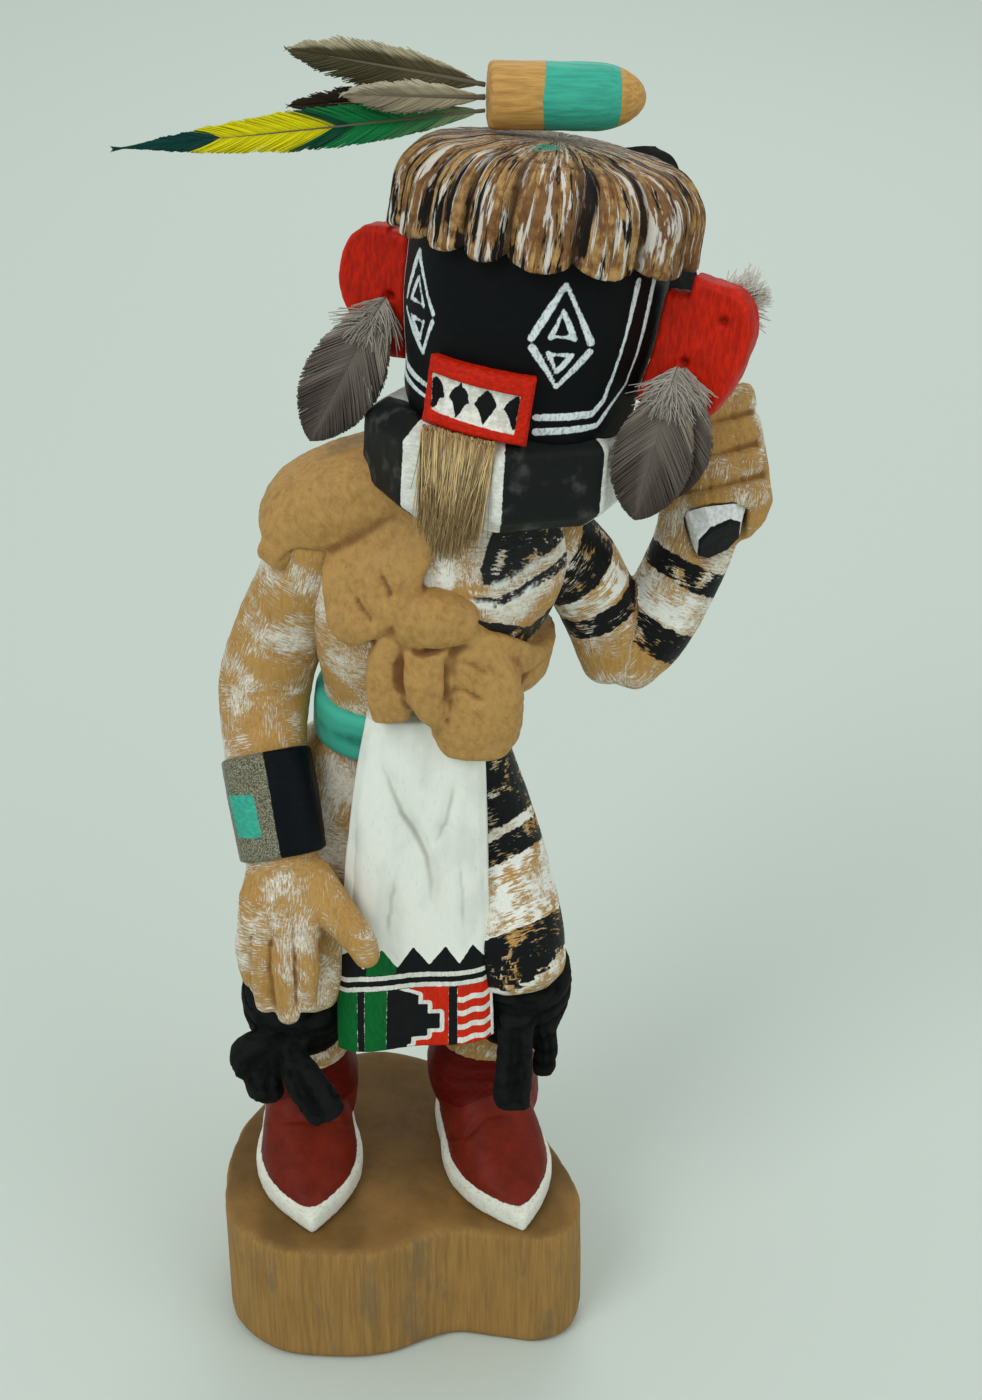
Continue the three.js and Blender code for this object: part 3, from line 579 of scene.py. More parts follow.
class DollColours(bpy.types.PropertyGroup):
    """The paints, woods and feathers."""

    wood: tint("Wood", "Bare carved wood", 184, 142, 80)
    wood_dark: tint("Dark wood", "Wood in its creases and fibres", 122, 82, 38)
    white: tint("White", "Dry white paint", 236, 236, 228)
    cloth_white: tint("Sash white", "White ground of the sash", 232, 234, 226)
    black: tint("Black", "Black paint", 12, 14, 16)
    charcoal: tint("Charcoal", "Dusty black of the ruff and ties", 22, 25, 24)
    scarlet: tint("Scarlet", "Ears, mouth and sash", 204, 32, 4)
    moccasin: tint("Moccasin red", "Dull red of the moccasins", 110, 30, 14)
    boot: tint("Boot red", "Deeper red above the moccasins", 100, 10, 2)
    green: tint("Green", "Green of the sash", 0, 98, 42)
    turquoise: tint("Turquoise", "Belt, tube and bracelet", 62, 168, 146)
    navy: tint("Navy", "Dark side of the bracelet", 10, 16, 22)
    base_side: tint("Base side", "Bark-stripped side of the base", 160, 122, 68)
    base_top: tint("Base top", "Smoother top of the base", 140, 104, 56)
    fur: tint("Fur", "Beard hair", 206, 180, 132)
    quill: tint("Body feather", "Grey-brown body feathers", 84, 74, 68)
    floor: tint("Floor", "Pale floor behind the doll", 203, 211, 204)


class DollSizes(bpy.types.PropertyGroup):
    """How finely the doll is carved and feathered."""

    skin: length("Skin cell", "Spacing of the carved skins", 0.0008)
    fine: length("Fine cell", "Spacing on hands and small pieces", 0.00066)
    knife: length("Knife marks", "Depth of the marks that the knife leaves", 0.00012, 0.0)
    barb_width: length("Barb width", "Breadth of one barb of a feather", 0.00032)
    barb_thickness: length("Barb thickness", "Thickness of one barb", 0.00008)
    hair_radius: length("Hair radius", "Half the thickness of a beard hair", 0.00007, 0.00001)


def colours():
    return bpy.context.scene.doll_colours


def size(name):
    """One of the doll's sizes, in millimetres."""
    return getattr(bpy.context.scene.doll_sizes, name) / MM


# ---- the doll's measures, in millimetres --------------------------------------------------------

WAIST_HEIGHT = 163
BELT_HEIGHT = 13
HEM_HEIGHT = 87
SASH_TOP = 170
PANEL_HEM = 116
SASH_WIDTH = 36
SOLE_HEIGHT = 5
FOOT_LENGTH = 55
FOOT_WIDTH = 28
HEAD_CENTRE = (28.2, -9, 243.7)
HEAD_YAW, HEAD_ROLL, HEAD_TIP = 21.7, 6.1, 6
MASK_RADIUS = 25.5
CHIN_RADIUS = 22.4
MOUTH_RADIUS = 27.2
RUFF_CORNER = 28
RUFF_HEIGHT = 20
TUBE_RADIUS = 6.3
TUBE_LENGTH = 32
FLOOR_WIDTH = 12000

BASE_OUTLINE = [
    [-44.5, -10], [-41.5, -26], [-31, -36], [-17, -38.5], [-4, -37.5], [6, -33], [14, -30.5],
    [25, -32], [35, -33], [42.5, -28], [44, -18], [41, -7], [36, 4], [27, 18], [14, 30],
    [-4, 38], [-17, 36.5], [-31, 26], [-40, 13], [-43.5, 2],
]

RIGHT_LEG = {
    "thigh": [[-8, 8, 146, 15, 16], [-15, -2, 127, 14, 15], [-21, -13, 109, 12.5, 13],
              [-23.5, -18, 99, 11, 11]],
    "shin": [[-23, -12, 100, 11, 11], [-24, -5, 84, 10.5, 10.5], [-24, 2, 68, 11, 11.5],
             [-23.5, 5, 56, 12, 13], [-23.5, 7, 46, 11.5, 13]],
    "heel": (-26, 21), "toe": (-20.7, -33),
}
LEFT_LEG = {
    "thigh": [[12, 8, 147, 14, 16], [19.5, -1, 129, 13.8, 15], [26.3, -11, 112, 12.3, 13],
              [29.3, -15.5, 102, 10.3, 11]],
    "shin": [[29, -9, 102, 10, 11], [27, -3, 84, 10.5, 10.5], [21, 3, 68, 12, 11.5],
             [19.5, 5, 58, 13.5, 13], [22.5, 7, 46, 12, 13]],
    "heel": (15.5, 20), "toe": (29.5, -31.5),
}
RIGHT_TIE = {
    "band": [[-23.5, -12, 97, 12.2, 13], [-24, -9, 90, 12.8, 13.2], [-24, -5.5, 82, 12, 12.4]],
    "loops": [
        [[-28, -21, 87, 3, 3], [-34, -22, 83, 4.2, 3.6], [-36, -20, 77, 3.4, 3.4]],
        [[-27, -22, 85, 2.6, 3], [-31, -23, 78, 4, 3.8], [-31, -22, 71, 4.2, 3.4]],
        [[-26, -22, 85, 3, 3], [-21, -26, 77, 4.6, 3.8], [-16.5, -27, 69, 4.6, 3.6]],
        [[-25, -20, 87, 5, 4], [-22, -20, 86, 5, 4]],
    ],
}
LEFT_TIE = {
    "band": [[29.5, -9.5, 99, 11.3, 12.5], [29, -7.5, 91, 11.6, 12.2], [28, -5, 82, 10.6, 11.6]],
    "loops": [
        [[28, -20, 92, 4, 3.4], [27.5, -22, 82, 4.2, 3.6], [27, -24, 70, 4.6, 3.6]],
        [[33, -16, 90, 3, 3.2], [35, -14, 80, 2.8, 3], [34.5, -13, 71, 2.6, 2.8]],
    ],
}
# Height, middle x, middle y, half width, half depth, from the crotch to the neck.
TRUNK = [
    [116, 4, 7, 12, 10], [124, 4, 8, 20, 14.5], [136, 4, 9, 22.5, 17.5], [148, 4, 8, 22, 17.5],
    [160, 4, 4, 20, 15.5], [170, 5, 0, 20, 15], [182, 7, -4, 23, 16.5], [194, 10, -6, 26, 17.5],
    [205, 13, -6, 26, 16], [214, 16, -5, 20, 13], [222, 20, -5, 13, 11], [232, 24, -7, 11, 11],
]
RIGHT_ARM = [[-14, -3, 207, 10.5, 12], [-17.8, -2, 196, 10, 11], [-24, 0, 182, 10, 10],
             [-28, 0, 169, 10.3, 10], [-28, -7, 157, 9.2, 9], [-26, -15, 146, 9, 8.2],
             [-24, -21.5, 134, 7.6, 6.8]]
PALM = [[-24, -21.5, 135, 8, 6.5], [-23.5, -25, 129, 10, 6], [-25, -27.5, 121.5, 9.3, 5]]
RIGHT_FINGERS = [
    [[-31, -26, 124, 3, 3], [-32, -27.5, 116, 2.9, 3], [-31.5, -27, 108, 2.4, 2.4]],
    [[-28, -28, 124, 3, 3.2], [-29, -29.5, 114, 3, 3.1], [-28.5, -29.5, 103, 2.5, 2.6]],
    [[-23.5, -29, 124, 3, 3.3], [-24, -30.5, 113, 3, 3.2], [-23.5, -30.5, 100.5, 2.6, 2.7]],
    [[-19.5, -29, 124, 3, 3.2], [-19, -30, 114, 2.9, 3.1], [-19.5, -30, 103.5, 2.4, 2.6]],
]
RIGHT_THUMB = [[-18, -23.5, 133, 5, 5], [-12.5, -27, 126.5, 4.5, 4.2], [-7.3, -29.5, 120.5, 3.7, 3.6],
               [-5.4, -30.5, 116.5, 3, 3]]
BRACELET = [[-27.8, -8.7, 155.2, 9.8, 10], [-26.2, -13, 148, 9.9, 10], [-24.0, -19.0, 136.6, 9.5, 9.8]]
LEFT_UPPER_ARM = [[33, -2, 205, 10, 11], [41, 0, 197, 9, 10], [46, 2, 186, 8.6, 9], [50.5, 3, 174, 8.6, 8.6]]
LEFT_FOREARM = [[51, 3, 174, 8.6, 8.6], [57, 3, 181, 8.8, 8.8], [62, 3.5, 191, 8.8, 8.5],
                [66, 5, 201, 8.8, 8.4], [67.8, 7.5, 209, 9.2, 8.6]]
GRIP = axes_at([70.7, 8.7, 218], [0.95, 0.3, -0.05], [-0.13, 0.5, 0.86])
CLUB = axes_at([70.2, -3.4, 206], [1, 0.1, 0.08], [-0.126, 0.568, 0.813])
FIST_FINGERS = 4
FIRST_FINGER = -8.2
FINGER_PITCH = 6.8
FINGER_REACH = 10.1
BUTT_LENGTH = 5.5
TUBE_START, TUBE_END = (21.5, -6, 298.2), (54.5, -3.5, 297.2)


def tilted_axes(origin, roll, tip):
    """A frame standing on the neck: its left, its face and its up, as the head is turned."""
    yaw, roll, tip = np.radians((HEAD_YAW, roll, tip))
    up = np.array([math.sin(roll), 0, math.cos(roll)])
    level = np.array([-math.sin(yaw), -math.cos(yaw), 0])
    level = unit(level - (level @ up) * up)
    face = level * math.cos(tip) + up * math.sin(tip)
    up = up * math.cos(tip) - level * math.sin(tip)
    return np.asarray(origin, float), np.cross(up, face), face, up


HEAD = tilted_axes(HEAD_CENTRE, HEAD_ROLL, HEAD_TIP)


def at_axes(axes, left, forward, up):
    """Points given in a head frame: to its left, forward of its axis and up."""
    left, forward, up = np.broadcast_arrays(left, forward, up)
    return axes[0] + np.stack([left, forward, up], axis=-1) @ np.array(axes[1:])


def on_head(left, forward, up):
    """Points given in the head's own frame."""
    return at_axes(HEAD, left, forward, up)


RUFF = tilted_axes(on_head(-2.3, 0, -16), 1, HEAD_TIP)


def round_head(angle, radius, up):
    """Points round the head's axis, from the face towards its left, in degrees."""
    angle = np.radians(angle)
    return on_head(radius * np.sin(angle), radius * np.cos(angle), up)


def head_place(points):
    """Angle round the head's axis, height and radius of points."""
    left, forward, up = in_axes(points, HEAD).T
    return np.degrees(np.arctan2(left, forward)), up, np.hypot(left, forward)


def off_trunk(angle, height, proud):
    """A point standing proud of the trunk; angle 0 is straight ahead and 90 is its left side."""
    table = np.asarray(TRUNK, float)
    cx, cy, rx, ry = (np.interp(height, table[:, 0], table[:, k]) for k in range(1, 5))
    s, c = math.sin(math.radians(angle)), math.cos(math.radians(angle))

    def full(x):
        return math.copysign(abs(x) ** 0.87, x)
    return (cx + (rx + proud) * full(s), cy - (ry + proud) * full(c), height)


# ---- finishes ---------------------------------------------------------------------------------

def bare_wood(f, fibre=(1.6, 1.6, 0.16)):
    """Bare cottonwood: drawn-out fibres, soft clouds, and darker where the carving is hollow, as stain and
    painted shade.
    """
    c, hollow = colours(), f.held("hollow")
    grain, cloud = f.grain(fibre, 4.0, 0.6), f.noise(f.at, 14.0, 3.0)
    colour = f.mix((grain * 0.8 + cloud * 0.5).step(0.5, 0.95) * 0.6, c.wood, c.wood_dark)
    colour = f.mix(cloud.step(0.5, 0.75) * 0.35, colour, times(c.wood, 1.45))
    # Darker wood in the hollows: partly the wood's stain there, partly painted shade.
    colour = f.mix(hollow.step(0.02, 0.30) * 0.75, colour, c.wood_dark)
    # Painted shade: the hollows are darkened further.
    return f.shade(colour, hollow.step(0.12, 0.7) * 0.8, 0.45), grain


def skin_layers(f, cover, bands=(), tilt=(0.0, 0.0), scratch=0.0):
    """Bare wood under dry white brush marks, with painted bands along the limb.

    Each band is (from, to, kind) along the limb, and kind is black or white.
    """
    c = colours()
    limb = f.planned("limb")
    across, through, along = f.split(limb)
    colour, grain = bare_wood(f)
    marks = f.strokes(limb, (3.6, 3.6, 0.4), cover, 11.0, 0.09).most(
        f.strokes(limb, (0.45, 0.45, 3.8), cover, 11.0, 0.09, 40.0))
    dry = marks * f.held("hollow").step(0.28, 0.06) * (
        f.noise(f.at, 0.7, 3.0, 0.7).step(0.3, 0.6) * 0.5 + 0.45)
    rough = f.noise(f.at, 0.8) * 0.25 + 0.58
    relief = dry * 0.6 + grain * 0.5 + f.noise(f.at, 0.5, 3.0) * 0.3
    if not bands:
        return f.mix(dry * 0.85, colour, c.white), rough, relief
    wander = along + across * tilt[0] + through * tilt[1] + f.unsteady(2.2, 2.0)
    white = black = 0.0
    for start, end, kind in bands:
        if kind == "black":
            black = wander.band(start, end, 0.12) + black
        else:
            white = wander.band(start, end, 0.3) + white
    full = f.strokes(limb, (0.4, 0.4, 2.4), 0.5, 6.0, 0.08, 15.0)
    keep = black * (1 - f.strokes(limb, (0.4, 0.4, 2.6), scratch, 5.0, 0.05, 70.0))
    colour = f.mix((dry * 0.9).most(full * white), colour, c.white)
    return f.mix(keep, colour, c.black), rough - keep * 0.22, relief + keep * 0.5


def skin_finish(name, *skin):
    """Carved skin with its paint."""
    f = Finish(name)
    return f.done(*skin_layers(f, *skin), 0.6, 0.3)


def worn_paint(name, colour, rough, grain, dust, shine=0.14):
    """Brushed paint with the wood's grain in it, paler dusty clouds, a painted highlight on its ridges, and
    painted shade in its hollows.
    """
    f = Finish(name, shine)
    brush, cloud, hollow = f.grain(grain, 4.0, 0.6), f.noise(f.at, 6.0, 3.0), f.held("hollow")
    body = f.brushed(brush, colour, 0.62, 1)
    body = f.mix(cloud.step(0.45, 0.75) * dust * 2, body, times(colour, 1.25, 0.012))
    # Painted highlight: the paint is paler on the ridges, as strongly as dust sets it.
    body = f.mix(hollow.step(-0.05, -0.25) * dust * 3, body, times(colour, 1.7, 0.01))
    # Painted shade: the paint is darker in the hollows.
    body = f.shade(body, hollow.step(0.03, 0.4), 0.5)
    return f.done(body, brush * 0.25 + (rough - 0.12), brush + cloud * 0.4, 0.5, 0.25)


def ruff_finish():
    """White under black, the edge drawn by hand where the planned distance passes nothing."""
    c = colours()
    f = Finish("ruff_paint")
    mask = f.drawn("dark", f.unsteady(1.3, 0.7), 0.08)
    brush = f.grain((0.6, 0.6, 1.5), 4.0, 0.62)
    colour = f.mix(mask, f.brushed(brush, c.white, 0.75, 1), f.brushed(brush, c.charcoal, 0.8, 1, 0.35, 0.68))
    # Painted shade: the ruff is darker in its hollows.
    colour = f.shade(colour, f.held("hollow").step(0.03, 0.4), 0.55)
    colour = f.mix(f.noise(f.at, 5.0, 3.0).step(0.55, 0.8) * 0.16, colour, (0.35, 0.34, 0.32))
    return f.done(colour, brush * 0.2 + 0.5, mask * 0.8 + brush * 0.6, 0.5, 0.25)


def base_finish():
    """The root slice: upright brushed grain with grey streaks, a browner worn top, and painted shade on the
    top towards the back and round the feet.
    """
    c = colours()
    f = Finish("base_wood")
    top, cloud, flecks = f.held("top"), f.noise(f.at, 16.0, 4.0, 0.6), f.noise(f.at, 1.6, 4.0, 0.7)
    grain, streak = f.grain((1.1, 1.1, 0.05), 5.0), f.grain((0.11, 0.11, 0.035))
    side = f.brushed(grain, c.base_side, 1.05, 0.72, 0.3, 0.72)
    side = f.mix(streak.step(0.52, 0.66) * 0.5, side, linear(112, 98, 76))
    side = f.mix(cloud.step(0.5, 0.75) * 0.35, side, linear(124, 92, 50))
    upper = f.brushed(cloud, c.base_top, 0.82, 1.12, 0.35, 0.65)
    upper = f.mix(flecks.step(0.5, 0.8) * 0.3, upper, times(c.base_top, 0.6))
    # Painted shade: the top is darker towards the back and round the feet.
    colour = f.shade(f.mix(top, side, upper), f.held("painted_shade") * 0.85, 0.38)
    return f.done(colour, flecks * 0.3 + 0.5, grain * (1 - top) + flecks * 0.4, 0.7, 0.4)


def leg_finish(name, *skin_plan):
    """A leg from thigh to moccasin: skin, boot, moccasin and white sole, by planned distances."""
    c = colours()
    f = Finish(name)
    skin, rough, relief = skin_layers(f, *skin_plan)
    wander = f.unsteady(1.4, 1.1)
    boot, shoe = f.drawn("boot", wander, 0.1), f.drawn("shoe", wander * 0.5, 0.1)
    sole = f.drawn("sole", wander * 0.6, 0.08)
    cloud, fibre = f.noise(f.at, 5.0, 4.0, 0.6), f.grain((0.8, 0.8, 1.6))
    colour = f.mix(boot, skin, f.brushed(fibre, c.boot, 0.55, 1.1))
    colour = f.mix(shoe, colour, f.brushed(cloud, c.moccasin, 0.8, 1.12))
    colour = f.mix(sole, colour, f.mix(fibre.step(0.25, 0.5), linear(196, 192, 176), linear(232, 231, 218)))
    # Painted shade: the leg is darker in its hollows.
    colour = f.shade(colour, f.held("hollow").step(0.04, 0.45), 0.5)
    red = boot.most(shoe) * (1 - sole)
    return f.done(colour, rough * (1 - red) + red * (fibre * 0.2 + 0.42), relief * (1 - red) + fibre * 0.5,
                  0.6, 0.3)


def sash_finish():
    """White cloth ground, with the border's black, green, red and white painted in their order, and painted
    shade in its folds.
    """
    c = colours()
    f = Finish("sash_paint")
    wander, brush = f.unsteady(1.1, 0.45), f.grain((1.4, 1.4, 0.4))
    cloud = f.grain((0.16, 0.16, 0.07), 3.0, 0.5)
    colour = f.mix(cloud.step(0.48, 0.7) * 0.3, c.cloth_white, linear(190, 194, 188))
    colour = f.mix(brush.step(0.55, 0.8) * 0.3, colour, linear(160, 160, 158))
    # Painted shade: the sash is greyer in its folds.
    colour = f.mix(f.held("hollow").step(0.02, 0.25) * 0.6, colour, linear(146, 142, 132))
    relief = brush * 0.4
    for plan, paint, over in (("black", c.black, 1.3), ("green", c.green, 1.12),
                              ("red", linear(206, 38, 10), 1.1), ("lines", linear(226, 226, 218), 1.05)):
        mask = f.drawn(plan, wander, 0.07)
        colour = f.mix(mask, colour, f.brushed(brush, paint, 0.78, over, 0.32))
        relief = relief + mask * 0.35
    return f.done(colour, 0.62 - f.held("black").step(-0.07, 0.07) * 0.14 + brush * 0.1, relief, 0.5, 0.22)


def mask_finish():
    """Satin black mask with hand-drawn bluish white lines."""
    c = colours()
    f = Finish("mask_paint", 0.08)
    brush, thin = f.grain((1.4, 1.4, 0.5)), f.grain((2.0, 2.0, 0.9), 3.0, 0.7)
    line = (f.held("lines") + f.unsteady(0.9, 0.5)).step(-0.1, 0.12)
    dust = f.noise(f.at, 3.0, 5.0, 0.7)
    body = f.mix(dust.step(0.55, 0.85) * 0.3, c.black, linear(30, 32, 32))
    body = f.mix(dust.step(0.76, 0.8), body, linear(120, 112, 100))
    colour = f.mix(line, body, f.mix(thin.step(0.3, 0.55), linear(150, 164, 172), linear(220, 228, 230)))
    return f.done(colour, brush * 0.2 + 0.42 + line * 0.1, line * 0.9 + brush * 0.35, 0.5, 0.22)


def mouth_finish():
    """The red frame, its white field and the field's black diamonds."""
    c = colours()
    f = Finish("mouth_paint")
    wander, brush = f.unsteady(0.9, 0.7), f.grain((1.0, 1.0, 1.6))
    white = f.mix(f.noise(f.at, 1.6, 4.0, 0.7).step(0.38, 0.62), linear(206, 204, 194), linear(240, 239, 230))
    colour = f.mix(f.drawn("field", wander * 0.3), f.brushed(brush, c.scarlet, 0.7, 1.1), white)
    colour = f.mix(f.drawn("teeth", wander), colour, c.black)
    return f.done(colour, brush * 0.2 + 0.45, brush + f.noise(f.at, 0.7, 3.0), 0.6, 0.25)


def hair_finish():
    """Brindled locks: tan wood under drawn-out black, white and brown marks, with painted shade in the
    grooves.
    """
    c = colours()
    f = Finish("hair_paint")
    lock = f.planned("lock")
    _, run, under = f.split(lock)

    def marks(grain, low, seed):
        moved = f.moved(lock, (seed, seed * 0.7, seed))
        return f.noise(f.stretch(moved, grain), 1.0, 4.0, 0.62, 0.4).step(low, low + 0.05)
    white = marks((1.2, 0.085, 0.2), 0.54, 29.0)
    speck = marks((2.2, 0.9, 0.8), 0.53, 83.0) * run.step(22.0, 6.0)
    above = under.step(0.6, 0.2)
    colour = f.mix(f.noise(f.at, 2.5, 4.0, 0.6).step(0.35, 0.7), linear(186, 146, 92), linear(112, 76, 42))
    colour = f.mix(marks((1.0, 0.055, 0.2), 0.50, 3.0) * 0.75 * above, colour, linear(104, 66, 38))
    colour = f.mix(white.most(speck) * 0.85 * above, colour, linear(220, 214, 206))
    colour = f.mix(marks((0.7, 0.055, 0.2), 0.54, 61.0) * above, colour, c.black)
    # Painted shade: dark brown in the grooves between locks and in the hollows.
    groove = f.held("hollow").step(0.08, 0.4).most(f.held("groove").step(0.25, 0.75))
    colour = f.mix(groove * 0.75 * above, colour, linear(52, 36, 26))
    smear = f.held("smear").step(0.0, 1.0) * marks((0.5, 0.4, 0.4), 0.46, 7.0)
    fine = f.noise(f.stretch(lock, (1.6, 0.25, 0.5)), 1.0, 4.0, 0.65)
    return f.done(f.mix(smear, colour, c.turquoise), fine * 0.3 + 0.42, fine + white * 0.5, 0.8, 0.4)


def bracelet_finish():
    """Silver glitter, a turquoise block let into it, and a navy side."""
    c = colours()
    f = Finish("bracelet_paint", 0.08)
    wander = (f.noise(f.at, 1.0, 3.0) - 0.5) * 0.4
    navy, stone = f.drawn("navy", wander, 0.08), f.drawn("stone", wander * 0.5)
    glitter = f.node("ShaderNodeTexVoronoi", inputs={"Vector": f.at, "Scale": 1 / 0.45})
    flake, brush = f.noise(f.at, 0.35, 2.0, 0.8), f.grain((0.8, 0.8, 1.5), 4.0, 0.6)
    colour = f.mix(flake.step(0.4, 0.62), linear(74, 72, 58), linear(146, 143, 122))
    colour = f.mix(glitter.step(0.22, 0.08) * 0.8, colour, linear(212, 208, 184))
    colour = f.mix(stone, colour, f.brushed(brush, c.turquoise, 0.8, 1.1))
    colour = f.mix(navy, colour, f.brushed(brush, c.navy, 0.7, 1, 0.4))
    plain = navy.most(stone)
    rough = 0.42 + plain * 0.08 - (1 - plain) * flake * 0.2
    return f.done(colour, rough, flake * (1 - plain) + brush * 0.3 + stone * 0.5, 0.7, 0.3)


def tube_finish():
    """The crown tube: lengthwise wood grain with a turquoise band."""
    c = colours()
    f = Finish("tube_paint")
    grain = f.grain((0.10, 1.5, 1.5), 4.0, 0.62)
    wood = f.mix(grain.step(0.3, 0.75) * 0.7, times(c.wood, 1.3), linear(150, 106, 58))
    mask = f.drawn("band", (f.noise(f.at, 1.2, 3.0) - 0.5) * 0.5)
    colour = f.mix(mask, wood, f.brushed(grain, c.turquoise, 0.85, 1.15, 0.3))
    return f.done(colour, 0.55 - mask * 0.1, grain + mask * 0.5, 0.6, 0.28)


def club_finish():
    """The club: black blade, white faceted handle and black butt."""
    f = Finish("club_paint_worn")
    brush = f.grain((1.0, 1.0, 0.8))
    white = f.drawn("white", (f.noise(f.at, 0.9, 3.0) - 0.5) * 0.4, 0.07)
    chalk = f.mix(brush.step(0.35, 0.65), linear(214, 214, 214), linear(244, 245, 244))
    ink = f.mix(brush.step(0.5, 0.8) * 0.5, colours().black, linear(52, 54, 56))
    return f.done(f.mix(white, ink, chalk), brush * 0.2 + 0.42, brush + white * 0.3, 0.6, 0.25)


def feather_finish(name, stops, pale_centre=0.0, rough=0.5, tips=None):
    """Barbs coloured along the feather by stops of (share, colour), with a darker shaft."""
    f = Finish(name)
    along, out, side, jitter = (f.held(plan) for plan in ("along", "out", "side", "chance"))
    colour = stops[0][1]
    for (low, _), (high, after) in zip(stops, stops[1:]):
        soft = 0.012 if high - low > 0.02 else 0.002
        colour = f.mix((along + (jitter - 0.5) * 0.02).step(high - soft, high + soft), colour, after)
    colour = f.mix(jitter * 0.25, colour, (0.0, 0.0, 0.0))
    if tips:
        colour = f.mix((out * side.step(-0.1, 0.1)).step(0.45, 0.8), colour, tips)
    if pale_centre:
        colour = f.mix(out.step(0.45, 0.0) * pale_centre, colour, linear(130, 121, 112))
    colour = f.mix(f.held("shaft"), colour, linear(64, 56, 48) if pale_centre else linear(96, 88, 74))
    return f.done(colour, jitter * 0.15 + rough)


def fur_finish():
    """Tan beard hair, paler and darker from one hair to the next, darker at its ends."""
    f = Finish("beard_hair")
    chance, run = f.held("chance"), f.held("out")
    colour = f.brushed(chance, colours().fur, 0.42, 1.35, 0.2, 0.9)
    colour = f.mix(run.step(0.6, 1.0) * 0.5, colour, linear(134, 94, 50))
    colour = f.mix(run.step(0.25, 0.0) * 0.5, colour, linear(150, 112, 70))
    return f.done(colour, chance * 0.2 + 0.5)


# ---- pieces -------------------------------------------------------------------------------------

def build_base():
    """The rounded root slice that the doll stands on."""
    outline = spline(BASE_OUTLINE, 320, closed=True)
    reach = np.linalg.norm(outline, axis=1, keepdims=True)
    profile = [(0, 8), (0, 2.6), (0.5, 1.3), (1.4, 0.5), (2.5, 0.1)]
    profile += [(z, 0.3 * z / 33) for z in np.linspace(4, 33, 20)]
    profile += [(34.2, 0.5), (35.2, 1.1), (35.9, 2.0), (36.3, 3.0), (36.5, 4.2)]
    rings = [np.c_[outline * (1 - inset / reach), np.full(320, z)] for z, inset in profile]
    for share in (0.97, 0.93, 0.88, 0.82, 0.75, 0.67, 0.58, 0.48, 0.38, 0.28, 0.18, 0.08):
        rings.append(np.c_[outline * (1 - 4.2 / reach) * share, np.full(320, 36.5)])
    base = Carving("root_slice", [shell(rings)])
    height = base.co[:, 2]
    wall = ease(0.6, 4, height) * (1 - ease(33, 36, height))
    base.press(wall * 0.45 * lumps(base.co, (7, 7, 60), 3))
    base.press(wall * 0.22 * lumps(base.co, (1.8, 1.8, 26), 4))
    base.press(-wall * 0.5 * ease(0.45, 0.9, lumps(base.co, (3, 3, 12), 6)))
    base.press(-0.25 * ease(34, 36.4, height) * np.abs(lumps(base.co, 9, 5)))
    base.plan("top", ease(34.4, 35.8, base.co[:, 2] + 0.5 * lumps(base.co, 4, 7)))
    _, y, z = base.co.T
    # Painted shade on the top: darker from the front edge towards the back, and round each foot.
    painted_shade = ease(-30, -5, y + 4 * lumps(base.co, 9, 8)) * 0.9
    for leg in (RIGHT_LEG, LEFT_LEG):
        distance, _ = from_path(base.co[:, :2], [leg["heel"], leg["toe"]])
        painted_shade = np.maximum(painted_shade, 0.6 * (1 - ease(10, 15, distance)))
    base.plan("painted_shade", painted_shade * ease(34, 36, z))
    base.finish(base_finish(), "base_wood", "base")


def bezier(points, count=20):
    """A cubic through its two ends, pulled by the two points between."""
    t = np.linspace(0, 1, count)[:, None]
    a, b, c, d = (np.asarray(point, float) for point in points)
    return a * (1 - t) ** 3 + 3 * b * t * (1 - t) ** 2 + 3 * c * t * t * (1 - t) + d * t ** 3


def foot_axes(heel, toe):
    """A foot's frame, on the base under its heel: across, along and up."""
    along = unit(np.array([toe[0] - heel[0], toe[1] - heel[1], 0.0]))
    return np.array([*heel, BASE_TOP + GAP]), np.cross(along, (0, 0, 1)), along, np.array([0, 0, 1.0])


def foot_shapes(axes):
    """A moccasin's flat sole and its rounded upper."""
    half, long = FOOT_WIDTH / 2, FOOT_LENGTH
    side = np.vstack([
        bezier([(0, 0), (0.75 * half, 0), (0.8 * half, 0.18 * long), (0.84 * half, 0.36 * long)]),
        bezier([(0.84 * half, 0.36 * long), (1.02 * half, 0.55 * long), (1.08 * half, 0.74 * long),
                (0, long)])[1:],
    ])
    outline = np.vstack([side, side[-2:0:-1] * (-1, 1)])
    middle = np.array([0, 0.5 * long])
    sole = [at_axes(axes, *(middle + (outline - middle) * share).T, up)
            for up, share in ((0, 0.97), (0.5, 0.995), (1.2, 1), (SOLE_HEIGHT - 0.6, 1),
                              (SOLE_HEIGHT, 0.985))]
    profile = spline([[0.06, 7.5, 14], [0.2, 10, 20], [0.42, 11.2, 20], [0.6, 11.8, 12.5], [0.76, 9.6, 7.5],
                      [0.88, 5.4, 4], [0.955, 1.6, 1.6]], 37)
    turn = 2 * np.pi * (np.arange(40) + 0.5) / 40
    c, s = np.cos(turn), np.sin(turn)
    upper = [at_axes(axes, half * np.sign(c) * np.abs(c) ** 0.8, share * long,
                     SOLE_HEIGHT - 1 + np.where(s > 0, tall * np.abs(s) ** 0.9, 0))
             for share, half, tall in profile]
    return shell(sole), shell(upper)


